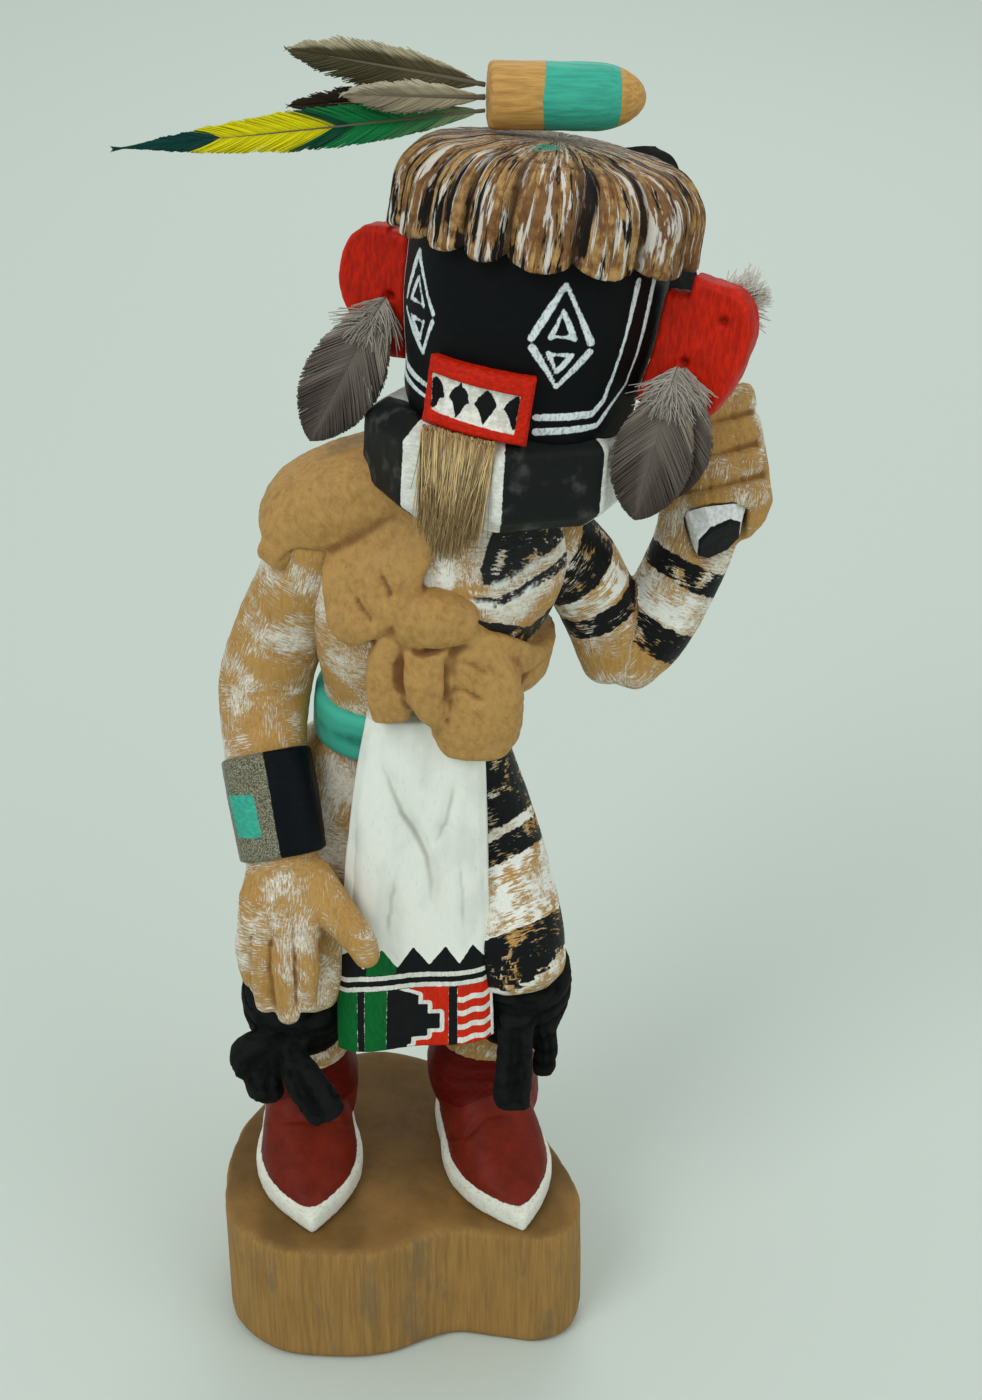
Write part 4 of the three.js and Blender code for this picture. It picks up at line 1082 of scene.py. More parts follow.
def build_leg(name, leg, finish, boot_top, creases):
    """One leg carved from thigh to sole."""
    axes = foot_axes(leg["heel"], leg["toe"])
    piece = Carving(name, [limb(leg["thigh"], dome=0.5), limb(leg["shin"], dome=0.4), *foot_shapes(axes)],
                    size("skin"))
    side, ahead, up = in_axes(piece.co, axes).T
    rim = SOLE_HEIGHT + 1.0
    piece.press(-0.3 * ridge(up - rim - 0.4, 0.9) * (ahead > -3))
    for path, width, depth in creases:
        piece.cut(path, width, depth)
    piece.knife(size("knife"), 3.4, 11)
    path = leg["thigh"] + leg["shin"][1:]
    piece.plan("limb", on_limb(piece.co, path))
    shoe_top = 12 + 6 * ease(2, 30, ahead) + 20 * ease(26, 36, ahead) - 0.08 * np.abs(side)
    piece.plan("boot", boot_top - piece.co[:, 2])
    piece.plan("shoe", shoe_top - up)
    piece.plan("sole", rim - up)
    piece.finish(finish(path))


def runs(path, *points):
    """How far along a limb's path each of some points lies."""
    return on_limb(np.array(points, float), path)[:, 2]


def build_legs():
    """Both legs: the right one bare and brushed with white, the left one banded in black."""
    def right(path):
        return leg_finish("right_leg_paint", 0.2)

    def left(path):
        at = runs(path, (14, -10, 143), (17, -14, 137), (20, -17, 131), (23, -20, 115), (26, -23, 105),
                  (29, -23, 101))
        bands = [(at[0] - 12, at[1], "black"), (at[1], at[1] + 2.4, "white"), (at[1] + 2.4, at[2], "black"),
                 (at[2], at[3], "white"), (at[3], at[4], "black"), (at[4], at[4] + 1.6, "white"),
                 (at[4] + 3, at[5] + 3, "white")]
        return leg_finish("left_leg_paint", 0.1, bands, (0.12, -0.05))
    build_leg("leg_right", RIGHT_LEG, right, 67,
              [([(-35, -8, 46), (-30, -10, 51), (-23, -12.5, 54), (-16, -10, 51), (-12, -6, 46)], 1.1, 0.7),
               ([(-34, 0, 59), (-24, -8, 61), (-14, 0, 59)], 1.3, 0.45)])
    build_leg("leg_left", LEFT_LEG, left, 70,
              [([(9, -4, 43), (11, -7.5, 44), (15.6, -13.8, 49.7), (20.8, -10.9, 53.8), (28, -9, 52)], 1.2,
                0.9),
               ([(9, 0, 60), (20, -9, 62), (31, -1, 59)], 1.3, 0.45),
               ([(11, -3, 66), (20, -8, 66.5), (29, -3, 67)], 1.0, 0.35)])


def build_ties():
    """The black cloths knotted under the knees."""
    c = colours()
    material = worn_paint("tie_black", times(c.charcoal, 0.7), 0.7, (0.8, 0.8, 0.8), 0.1, 0.05)
    for name, tie, seed in (("tie_right", RIGHT_TIE, 21), ("tie_left", LEFT_TIE, 22)):
        shapes = [limb(tie["band"], dome=0.2)]
        shapes += [limb(loop, power=2.5, sides=24, dome=0.5) for loop in tie["loops"]]
        piece = Carving(name, shapes, size("fine"), 3)
        across, through, along = on_limb(piece.co, tie["band"]).T
        round_tie = np.arctan2(across, -through)
        radius = np.hypot(across, through)
        near = (1 - ease(14.5, 17, radius)) * ease(-1, 2, along)
        wraps = np.sin((along + 1.6 * np.sin(round_tie * 2 + seed)) * np.pi / 4.6)
        piece.press(-0.75 * near * ridge(wraps, 0.45))
        for loop in tie["loops"]:
            line = [np.add(station[:3], (0, -station[4], 0)) for station in loop]
            if len(line) > 2:
                piece.cut([point + (0.9, 0, 0) for point in line], 0.9, 0.7)
                piece.cut([point - (1.1, 0, 0) for point in line], 0.8, 0.5)
        creases = np.sin(lumps(piece.co, (3.2, 6, 9), seed) * 4.2)
        piece.press(-0.55 * (1 - near) * ridge(creases, 0.3))
        piece.knife(0.28, 3.4, seed)
        piece.finish(material)


CHEST_BLACK = [
    [(22.1, 213.5), (19.8, 206.5), (20.3, 203.4), (24.5, 203.5), (30.7, 206.6), (37.5, 209.4), (34, 215),
     (27, 216)],
    [(17.5, 201.3), (23.9, 200.6), (30, 203.4), (38.5, 206.8), (38.5, 203.6), (30, 201), (23.9, 198.4),
     (17.5, 198.6)],
    [(17.5, 196.2), (24, 194.6), (30, 191.8), (35, 194.5), (35, 188), (29, 186), (22, 188), (17.5, 190)],
]
CHEST_WHITE = [
    ([(10.8, -21.4, 203.4), (10.8, -21.4, 208.4)], 3.6),
    ([(18.4, -22.1, 202.3), (23.8, -20.8, 203), (30.7, -17.8, 206.1), (39.9, -8.4, 208.6)], 1.0),
    ([(17.7, -23.9, 199.8), (23.9, -21.1, 198.2), (30, -18.6, 201.5), (37.8, -11.4, 203.1)], 1.0),
]


def trunk_finish():
    """Brushed skin with the chest's black patches and white streaks."""
    c = colours()
    f = Finish("trunk_paint", 0.35)
    colour, rough, relief = skin_layers(f, 0.16)
    wander = f.unsteady(1.6, 1.6)
    dark, pale = f.drawn("dark", wander, 0.15), f.drawn("pale", wander * 1.3, 0.5)
    brush = f.strokes(f.at, (1.6, 1.6, 0.7), 0.7, 4.0, 0.1, 12.0)
    scratch = f.strokes(f.at, (0.5, 1.6, 2.2), -0.1, 3.0, 0.05, 31.0)
    colour = f.mix(dark * (1 - scratch), colour, c.black)
    colour = f.mix(pale * brush, colour, c.white)
    return f.done(colour, rough - dark * 0.2, relief + pale * brush * 0.6, 0.6, 0.3)


def build_trunk():
    """The chest and belly under the cape."""
    smooth_rows = spline(TRUNK, 141)
    rings = []
    for z in np.linspace(TRUNK[0][0], TRUNK[-1][0], 140):
        _, cx, cy, rx, ry = (np.interp(z, smooth_rows[:, 0], smooth_rows[:, k]) for k in range(5))
        rings.append(ring((cx, cy, z), (1, 0, 0), (0, 1, 0), rx, ry, 176, 2.3))
    trunk = Carving("trunk", [shell(rings)])
    trunk.knife(size("knife"), 3.4, 31)
    x, y, z = trunk.co.T
    turn = np.arctan2(x - 10, -(y + 2))
    trunk.plan("limb", np.c_[turn * 20, np.hypot(x - 10, y + 2), z])
    front = y < 0
    dark = np.max([inside_polygon(trunk.co[:, [0, 2]], corners) for corners in CHEST_BLACK], axis=0)
    trunk.plan("dark", np.where(front, dark, -5))
    pale = np.max([wide - from_path(trunk.co, path)[0] for path, wide in CHEST_WHITE], axis=0)
    trunk.plan("pale", np.where(front, pale, -5))
    trunk.finish(trunk_finish())


def build_belt():
    """The turquoise belt, cut square-edged round the waist."""
    c = colours()
    rings = []
    profile = [(-0.5, 0.4), (-0.47, 1.1), (-0.40, 1.75), (-0.3, 1.85), (-0.15, 1.9), (0, 1.9), (0.15, 1.9),
               (0.3, 1.85), (0.40, 1.75), (0.47, 1.1), (0.5, 0.4), (0.5, -2.5), (0.0, -2.5), (-0.5, -2.5)]
    for angle in np.linspace(0, 360, 200, endpoint=False):
        height = WAIST_HEIGHT - 2.5 * math.cos(math.radians(angle))
        rings.append([off_trunk(angle, height + share * BELT_HEIGHT, proud) for share, proud in profile])
    belt = Carving("belt", [torus(rings)])
    belt.knife(0.14, (3, 3, 6), 41)
    belt.finish(worn_paint("belt_turquoise", times(c.turquoise, 0.72), 0.5, (0.5, 0.5, 1.8), 0.3))


def between(value, low, high):
    """How far a value lies inside two limits."""
    return np.minimum(value - low, high - value)


def sash_plans(across, up):
    """The border's paint, as distances in from each colour's edge, across and up from the hem."""
    teeth = np.interp(across, [0, 2.6, 5.9, 9.8, 13.2, 16.7, 20.8, 24.8, 28.2, 31.5, 35, 36.5],
                      [24, 26.6, 22, 27, 21.8, 27, 22, 27, 22, 26.8, 22, 24])
    slant = up + 0.7 * ease(6, 0, across)
    below = 16.1 - slant
    motif = inside_polygon(np.c_[across, up], [
        (11.2, -1), (11.2, 17), (18.4, 13.9), (18.4, 11.5), (20.7, 11.5), (20.7, 8.9), (23.6, 8.9),
        (23.6, 4.6),
        (20.7, 4.6), (20.7, 2.6), (17, 2.6), (17, 0.7), (16, 0.7), (16, -1)])
    black = np.max([
        np.minimum(slant - 16.0, (teeth - up) * 0.7),
        np.minimum(motif, below),
        np.minimum(between(across, 4.7, 6.3), below),
        np.minimum(between(across, 25.6, 27.7), below),
    ], axis=0)
    green = np.max([
        np.minimum(4.7 - across, below),
        np.minimum(between(across, 6.3, 11.2), below),
        np.min([between(across, 6.6, 13.0), up - 20.3, (teeth - up) * 0.7], axis=0),
    ], axis=0)
    red = np.max([
        np.min([between(across, 11.2, 25.6), below, -motif - 0.9], axis=0),
        np.min([across - 27.7, 35.4 - across, below], axis=0),
    ], axis=0)
    wave = 0.28 * np.sin(across * 1.25) + 0.05 * across - 1.6
    stripes = np.max([0.75 - np.abs(up - level - wave) for level in (12.6, 8.9, 5.1, 1.5)], axis=0)
    lines = np.max([
        0.62 - np.abs(slant - 16.8), 0.62 - np.abs(slant - 19.5),
        np.min([between(-motif, 0, 1.0), across - 12.2, 14.9 - up], axis=0),
        np.min([stripes, across - 27.7, below], axis=0),
    ], axis=0)
    return {"black": black, "green": green, "red": red, "lines": lines}


# Each groove's path, width and depth.
SASH_FOLDS = [
    ([(-3.0, -20, 166), (1.2, -22.5, 152), (7.0, -24, 138), (8.6, -24.5, 120)], 2.6, 1.3),
    ([(15.0, -19, 158), (12.0, -22, 146), (7.4, -24, 137)], 2.3, 1.1),
    ([(-6.6, -19, 150), (-9.0, -22, 130), (-9.2, -23.5, 114)], 2.2, 0.9),
    ([(1.0, -22, 134), (-0.6, -24, 122), (-0.8, -24.5, 114)], 2.2, 0.8),
    ([(14.6, -20, 140), (15.6, -23, 126), (16.0, -24.5, 114)], 2.0, 0.8),
]


def build_sash():
    """The sash: a painted panel in front and a plain one behind."""
    def sheet(top, bottom, folds, rows, columns, back):
        share = np.linspace(0, 1, rows)[:, None]
        s = np.linspace(-1, 1, columns)[None]
        mix = [bottom[i] + (top[i] - bottom[i]) * share for i in range(5)]
        soft = folds * np.cos(s * np.pi * 1.5) * (1 - share * 0.4)
        x = mix[0] + s * mix[3] - (0 if back else 9.0) * ease(0, -1, s) * share * (1 - share)
        z = mix[2] - bottom[5] * s * (1 - share)
        if back:
            y = mix[1] + mix[4] + 0.9 * s * s + 0 * share
        else:
            y = mix[1] + soft + 1.8 * s ** 2 + 0.9 * ease(0.86, 1, np.abs(s))
        return np.stack([x, y + 0 * x, z + 0 * x], axis=-1)
    front_top, front_low = [8, -20.5, SASH_TOP, 12.5, 8, 0], [4.6, -25.5, HEM_HEIGHT, 18, 5, -1.9]
    rows, columns = 200, 90
    sash = Carving("sash_front", [slab(sheet(front_top, front_low, 0.7, rows, columns, False),
                                       sheet(front_top, front_low, 0.7, rows, columns, True))])
    s = np.tile(np.linspace(-1, 1, columns), rows)
    share = np.repeat(np.linspace(0, 1, rows), columns)
    across, up = (s + 1) * SASH_WIDTH / 2, share * (SASH_TOP - HEM_HEIGHT)
    paint = {name: np.r_[value, np.full(rows * columns, -3.0)]
             for name, value in sash_plans(across, up).items()}
    mask = np.max(list(paint.values()), axis=0)
    sash.press(np.r_[1.0 * lumps(np.c_[s * 2.1 + share * 1.2, share * 4, s * 0], 1, 51)
                     * ease(0.32, 0.6, share),
                     np.zeros(rows * columns)])
    sash.knife(0.08, (2, 2, 8), 52)
    for path, width, depth in SASH_FOLDS:
        sash.cut(path, width, depth)
    sash.press(0.06 * ease(-0.2, 0.1, mask))
    for name, value in paint.items():
        sash.plan(name, value)
    sash.finish(sash_finish())

    back_top, back_low = [4, 21.3, 158, 13, 7, 0], [4, 23.6, PANEL_HEM, 15, 6.5, 0]
    far = sheet(back_top, back_low, 0.4, 100, 64, True)
    near = sheet(back_top, back_low, 0.4, 100, 64, False)
    panel = Carving("sash_back", [slab(near, far)])
    panel.press(0.3 * np.sin(panel.co[:, 0] * 0.55) * (panel.co[:, 1] > 22))
    panel.knife(0.1, (2, 2, 8), 53)
    low = (panel.co[:, 1] > 21) & (panel.co[:, 2] < 134)
    for name, start, end in (("black", 14.5, 17), ("green", 3, 7), ("red", 7.8, 13.4)):
        panel.plan(name, np.where(low, between(panel.co[:, 2] - PANEL_HEM, start, end), -3))
    panel.plan("lines", np.full(len(panel.co), -3.0))
    panel.finish(bpy.data.materials["sash_paint"])


# Each groove's path, width and depth.
CAPE_CUTS = [
    ([(-0.7, -22.3, 208.2), (0.8, -24.6, 204.4), (2.5, -26.1, 200.3)], 1.5, 1.1),
    ([(-6.5, -22.5, 202.6), (-4.1, -24.6, 199.1), (-1.4, -26, 195.2)], 1.4, 1.0),
    ([(-25, -13.2, 207.7), (-22.3, -14.8, 205.4), (-16.9, -13.9, 208), (-11.8, -19.3, 203)], 1.0, 0.5),
    ([(2.9, -25.4, 189.2), (1.8, -25.6, 185), (2, -25.4, 179.4)], 1.0, 0.8),
    ([(3.8, -25.4, 192), (3.1, -25.7, 184), (4.4, -25.9, 178)], 1.2, 1.2),
    ([(3.8, -25.4, 190.7), (8, -26.8, 190.4), (14.4, -27.4, 191.5)], 1.3, 1.3),
    ([(13.1, -26.1, 190.5), (12.8, -26.4, 182), (11.6, -26.4, 176)], 1.2, 1.2),
    ([(14.1, -24.9, 187.2), (18.3, -25.8, 186.7), (24.4, -25.6, 183.2)], 1.2, 0.8),
    ([(12.9, -23.8, 181.3), (16.9, -26, 180.9), (21.4, -26, 177.7)], 1.2, 0.8),
    ([(9.5, -26.5, 186), (9.6, -26.5, 181), (10.3, -26.6, 176.5)], 0.8, 0.4),
    ([(24, -22, 180), (32, -15, 181), (37, -6, 183)], 1.8, 0.7),
    ([(22, -24, 173), (31, -18, 176), (37, -6, 178)], 1.6, 0.5),
]


def build_cape():
    """The knotted cape, left as bare wood."""
    def cloth(start, end, columns, rows, edge, depth=5):
        front, back = np.zeros((rows, columns, 3)), np.zeros((rows, columns, 3))
        for k in range(columns):
            share = k / (columns - 1)
            angle = start + (end - start) * share
            low, high, out, out_top = edge(angle, share)
            for r in range(rows):
                f = r / (rows - 1)
                z = low + (high - low) * f
                soft = 0.9 * (2 * f - 1) ** 6 + 0.9 * (2 * share - 1) ** 12
                front[r, k] = off_trunk(angle, z, out + (out_top - out) * f - soft)
                back[r, k] = off_trunk(angle, z, -depth)
        return slab(front, back)

    def front_edge(angle, share):
        low = 209 - 19 * ease(-72, -36, angle) + 8 * ease(-30, -8, angle)
        return low, 221, 4, 4.5

    def side_edge(angle, share):
        return (182 - 7.5 * ease(0, 0.3, share), 194 - 9 * ease(0, 0.6, share),
                5 + 2.5 * ease(0, 0.5, share), 3 + 2 * ease(0, 0.7, share))

    def back_edge(angle, share):
        return 173 + 15 * share, 188 + 28 * ease(0, 0.7, share), 4 + 1.2 * math.cos(angle / 10), 4
    up = (0, 0, 1)
    shapes = [
        limb([[-24, -3, 208.5, 4.6, 10.5], [-18.6, -3, 212, 8.8, 12.6], [-9, -4, 215.5, 11.2, 13.5],
              [3, -5, 218, 12, 13], [14, -3, 217, 10, 11]], up, 2.4, 0.3, 14, 2),
        limb([[-22.6, -7, 207.5, 4.2, 7], [-18.6, -9.5, 205.5, 4.2, 7]], up, 2.6, 0.3, 12, 2),
        cloth(-80, -8, 60, 24, front_edge), cloth(12, 118, 80, 18, side_edge),
        cloth(112, 275, 110, 24, back_edge),
        limb([[4.5, -22, 195.5, 5, 5], [10.5, -23.5, 197, 6.5, 6], [17, -22, 195.5, 4.5, 5]], up, 2.5, 0.4,
             14, 3),
        limb([[4.5, -22, 194, 4.5, 3.4], [0.5, -22.5, 183, 4.8, 3.4], [1, -22, 173, 4.2, 3]], (1, 0, 0), 3.4,
             0.3, 16, 3),
        limb([[9.0, -24, 192, 4.8, 3.2], [8.3, -24.8, 183, 5.0, 3.2], [9.4, -24.6, 176.5, 3.6, 2.8],
              [11, -24, 172.2, 1.2, 2.0]], (1, 0, 0), 3.2, 0.4, 16, 3),
        limb([[16, -21, 193, 4.5, 4], [20, -20.5, 182, 8.5, 6], [18.8, -20, 170, 9.8, 6],
              [18.5, -20, 164, 7.6, 5]],
             (1, 0, 0), 2.7, 0.4, 14, 3),
    ]
    cape = Carving("cape", shapes, 0.75, 2)
    for path, width, depth in CAPE_CUTS:
        cape.cut(path, width, depth)
    x, y, z = cape.co.T
    behind = ease(4, 14, y)
    cape.press(behind * 0.55 * np.sin((x * 0.45 + z * 0.22) + lumps(cape.co, 12, 61) * 1.2))
    cape.knife(0.2, 3.0, 62)
    cape.finish(cape_finish())


def cape_finish():
    """Bare rasped wood, darker brown along its folds, as stain and painted shade."""
    f = Finish("cape_wood", 0.3)
    colour, grain = bare_wood(f, (0.7, 0.7, 0.5))
    turned = f.node("ShaderNodeVectorRotate", {"rotation_type": "Y_AXIS"}, {"Vector": f.at, "Angle": 0.7})
    rasp = f.noise(f.stretch(turned, (2.2, 1.5, 0.35)), 1.0, 3.0, 0.6)
    dirt = f.noise(f.at, 7.0, 4.0, 0.65)
    colour = f.mix(rasp.step(0.52, 0.75) * 0.22, colour, colours().wood_dark)
    colour = f.mix(rasp.step(0.42, 0.3) * 0.25, colour, linear(206, 164, 100))
    colour = f.mix(dirt.step(0.52, 0.75) * 0.25, colour, linear(134, 96, 50))
    # Darker brown in the folds: partly stain, partly painted shade.
    colour = f.mix(f.held("hollow").step(0.05, 0.5) * 0.6, colour, linear(112, 62, 26))
    return f.done(colour, grain * 0.25 + 0.5, grain + rasp * 0.6, 0.6, 0.35)


def build_right_arm():
    """The right arm, its open hand, and the bracelet above it."""
    shapes = [limb(RIGHT_ARM, dome=0.6), limb(PALM, power=2.5, dome=0.5)]
    shapes += [limb(finger, power=2.3, sides=20, dome=0.8) for finger in RIGHT_FINGERS]
    shapes.append(limb(RIGHT_THUMB, power=2.2, sides=20, dome=0.8))
    arm = Carving("arm_right", shapes, size("fine"), 3)
    for left, right in zip(RIGHT_FINGERS, RIGHT_FINGERS[1:]):
        seam = [(np.array(a[:3]) + b[:3]) / 2 + (0, -2, 0) for a, b in zip(left, right)]
        arm.cut([seam[0] + (0.3, 0.5, 5), *seam], 0.6, 0.5, 0.12)
    arm.knife(size("knife"), 3.0, 71)
    arm.plan("limb", on_limb(arm.co, RIGHT_ARM + PALM[1:] + [[-24.5, -30, 103, 0, 0]]))
    arm.finish(skin_finish("right_arm_paint", 0.02))

    rows, u, v, along = run_of(BRACELET, 44)
    rings = [ring(r[:3], a, b, r[3], r[4], 128, 2.8) for r, a, b in zip(rows, u, v)]
    for end, sign in ((0, -1), (-1, 1)):
        row = rows[end]
        for push, share in ((0.35, 0.975), (0.6, 0.93), (0.7, 0.8)):
            cap = ring(row[:3] + sign * push * along[end], u[end], v[end], row[3] * share, row[4] * share,
                       128, 2.8)
            rings.insert(len(rings) if sign > 0 else 0, cap)
    band = Carving("bracelet", [shell(rings)])
    band.knife(0.08, 2.2, 72)
    divide = np.array([[-26.7, -18.2, 158.5], [-25.2, -23.2, 149.3], [-23.8, -27.4, 140.8]])
    place = on_limb(band.co, BRACELET)
    edge = on_limb(divide, BRACELET)
    angle = np.arctan2(place[:, 0], place[:, 1])
    turn = np.arctan2(edge[:, 0], edge[:, 1]).mean()
    band.plan("navy", np.minimum((angle - turn) * 9, (turn + 2.4 - angle) * 9))
    corners = on_limb(np.array([[-35, -18, 150.8], [-29.5, -21.4, 152.9], [-27.5, -25.6, 144.6],
                                [-32.8, -23.2, 143]]),
                      BRACELET)
    flat = np.c_[np.arctan2(corners[:, 0], corners[:, 1]) * 9, corners[:, 2]]
    band.plan("stone", inside_polygon(np.c_[angle * 9, place[:, 2]], [tuple(corner) for corner in flat]))
    band.finish(bracelet_finish())


def build_left_arm():
    """The raised left arm and the fist round the club."""
    path = LEFT_UPPER_ARM + LEFT_FOREARM[1:]
    shapes = [limb(LEFT_UPPER_ARM, dome=0.5), limb(LEFT_FOREARM, dome=0.6),
              stack(GRIP, [[-15, -1.5, 0, 7, 6.5], [-10, -1, 0, 9, 8.6], [0, -0.3, 0, 9, 8.8],
                           [10, -0.5, 0, 8, 8],
                           [15, -0.5, 0, 5.2, 5.6]], 40, 2.3, 4)]
    shapes.append(stack(GRIP,
                        [[-17, 1, 1, 4, 4], [-13, 1.2, 1, 8, 8], [-6, 1.4, 1, 9.5, 9], [2, 1.2, 1, 9.5, 9],
                               [9, 0.8, 0.6, 9, 8.6], [14, 0.3, 0, 7, 7]], 40, 2.2, 4))
    for k in range(FIST_FINGERS):
        middle, half, crest = FIRST_FINGER + k * FINGER_PITCH, FINGER_PITCH * 0.5, FINGER_REACH - 0.35 * k
        shapes.append(stack(GRIP, [[middle + half * t, 0, 0, crest - 0.8 * t * t, crest - 0.8 * t * t]
                                   for t in np.linspace(-1, 1, 9)], 40, 2.5))
    arm = Carving("arm_left", shapes, size("fine"), 3)
    pocket = [[-7, 0, 0, CLUB_WIDE - 0.6, CLUB_WIDE - 1.2],
              [BUTT_LENGTH + 0.5, 0, 0, CLUB_WIDE + 0.45, CLUB_WIDE - 0.15]]
    arm.hollow_out(stack(CLUB, pocket, 8, 2.4), size("fine"))
    u, v, w = in_axes(arm.co, GRIP).T
    turn = np.degrees(np.arctan2(v, u))
    knuckles = ease(6.8, 8, np.hypot(u, v)) * (np.abs(w - 2) < 15)
    knuckles = knuckles * ease(-180, -165, turn) * (1 - ease(-45, -8, turn))
    for k in range(1, FIST_FINGERS):
        groove = FIRST_FINGER + (k - 0.5) * FINGER_PITCH + 1.6 * np.sin(np.radians(turn + 60))
        arm.press(-1.0 * knuckles * ridge(w - groove, 1.2))
    for at in (-128, -84, -48):
        arm.press(-0.35 * knuckles * ridge(turn - at, 3.5))
    arm.knife(size("knife"), 3.0, 81)
    arm.plan("limb", on_limb(arm.co, path))
    at = runs(path, (38, -10, 203), (42, -4.9, 196), (44, -4, 190), (46.3, -3, 185))
    elbow = runs(path, (50.5, 3, 174))[0]
    bands = [(at[0], at[1], "black"), (at[1], at[2] - 1, "white"), (at[2], at[3], "black"),
             (elbow + 7.9, elbow + 15, "black"), (elbow + 15.5, elbow + 23, "white"),
             (elbow + 24, elbow + 29.2, "black")]
    arm.finish(skin_finish("left_arm_paint", 0.1, bands, (0.1, 0.0), 0.05))


CLUB_WIDE = 6.8


def club_face(u, v):
    """How far the club's slanting end stands back from square."""
    return 0.3 * u - 0.55 * v


def build_club():
    """The club: a faceted white handle with a black end, and its black blade behind the head."""
    def eight_sided(sections):
        rows = []
        for d, du, ru, rv, slope in sections:
            flat = ring((0, 0, 0), (1, 0, 0), (0, 1, 0), ru, rv, 8, 2.4)
            loop = np.vstack([flat, flat[:1]])
            dense = np.vstack([a + (b - a) * np.linspace(0, 1, 12, endpoint=False)[:, None]
                               for a, b in zip(loop, loop[1:])])
            lift = d * (1 - slope) + slope * (d + club_face(dense[:, 0], dense[:, 1]))
            rows.append(CLUB[0] + np.outer(dense[:, 0] + du, CLUB[1]) + np.outer(dense[:, 1], CLUB[2])
                        + np.outer(lift, CLUB[3]))
        return shell(rows)
    butt = [[-1.0, 0, 0.5, 0.5, 1], [-1.0, 0, 4.4, 4.0, 1], [-0.8, 0, 4.8, 4.4, 1], [-0.3, 0, 5.0, 4.6, 1]]
    butt += [[5.5 * t - 0.3 * (1 - t), 0, 5.0 + 1.7 * t ** 0.7, 4.6 + 1.5 * t ** 0.7, 1 - t]
             for t in np.linspace(0.08, 1, 14)]
    grip = [[BUTT_LENGTH - 1, 0, 3.2, 3.2, 0], [32, 0, 3.3, 3.3, 0]]
    blade = spline([[30, 0, 3.3, 3.3, 0], [37, -2, 5, 2.2, 0], [44, -4, 7.5, 2, 0], [64, -5, 8.2, 2, 0],
                    [81, -6, 8.5, 2, 0], [86, -8, 6, 2, 0]], 60)
    club = Carving("war_club", [eight_sided(butt), eight_sided(grip), eight_sided(blade)])
    club.knife(0.06, 2.0, 91)
    cu, cv, cw = in_axes(club.co, CLUB).T
    face = cw - club_face(cu, cv)
    club.plan("white", np.minimum(face + 0.35, 31 - cw))
    club.finish(club_finish(), "club_paint", "club", flat=True)


MASK_STROKES = [
    # Angle and height along each painted line, then half its width.
    ([(19.3, 13.6), (30.2, 24.6), (45.3, 13.9)], 0.68), ([(27.4, 14.3), (30.9, 19.6), (37.6, 14.4)], 0.55),
    ([(27.4, 14.6), (37.6, 14.7)], 0.42), ([(20.3, 11.9), (34, 4.6), (45.6, 12.1)], 0.68),
    ([(27.6, 11.2), (32.6, 7.6), (38.0, 11.3)], 0.55), ([(27.6, 11.1), (38.0, 11.2)], 0.42),
    ([(-28.2, 13.6), (-43.5, 23.9), (-53, 14)], 0.68), ([(-35, 14.3), (-41, 19.2), (-47, 14.4)], 0.5),
    ([(-35, 14.5), (-47, 14.6)], 0.4), ([(-28.2, 12), (-35.5, 5.2), (-53, 12)], 0.68),
    ([(-34.5, 11.3), (-37.5, 7.8), (-46, 11.4)], 0.5), ([(-34.5, 11.2), (-46, 11.2)], 0.4),
    ([(65, 25.6), (61, 2), (55.4, -0.6), (27, -1.8)], 0.7),
    ([(76.9, 25.6), (74.2, 4.7), (59.9, -3.1), (28.2, -4.7)], 0.7),
    ([(-66, 25.6), (-63, 2.2), (-56, 0.4), (-30, -1.0)], 0.7),
    ([(-78, 25.6), (-74, 3), (-60, -1.6), (-30, -3.3)], 0.7),
]


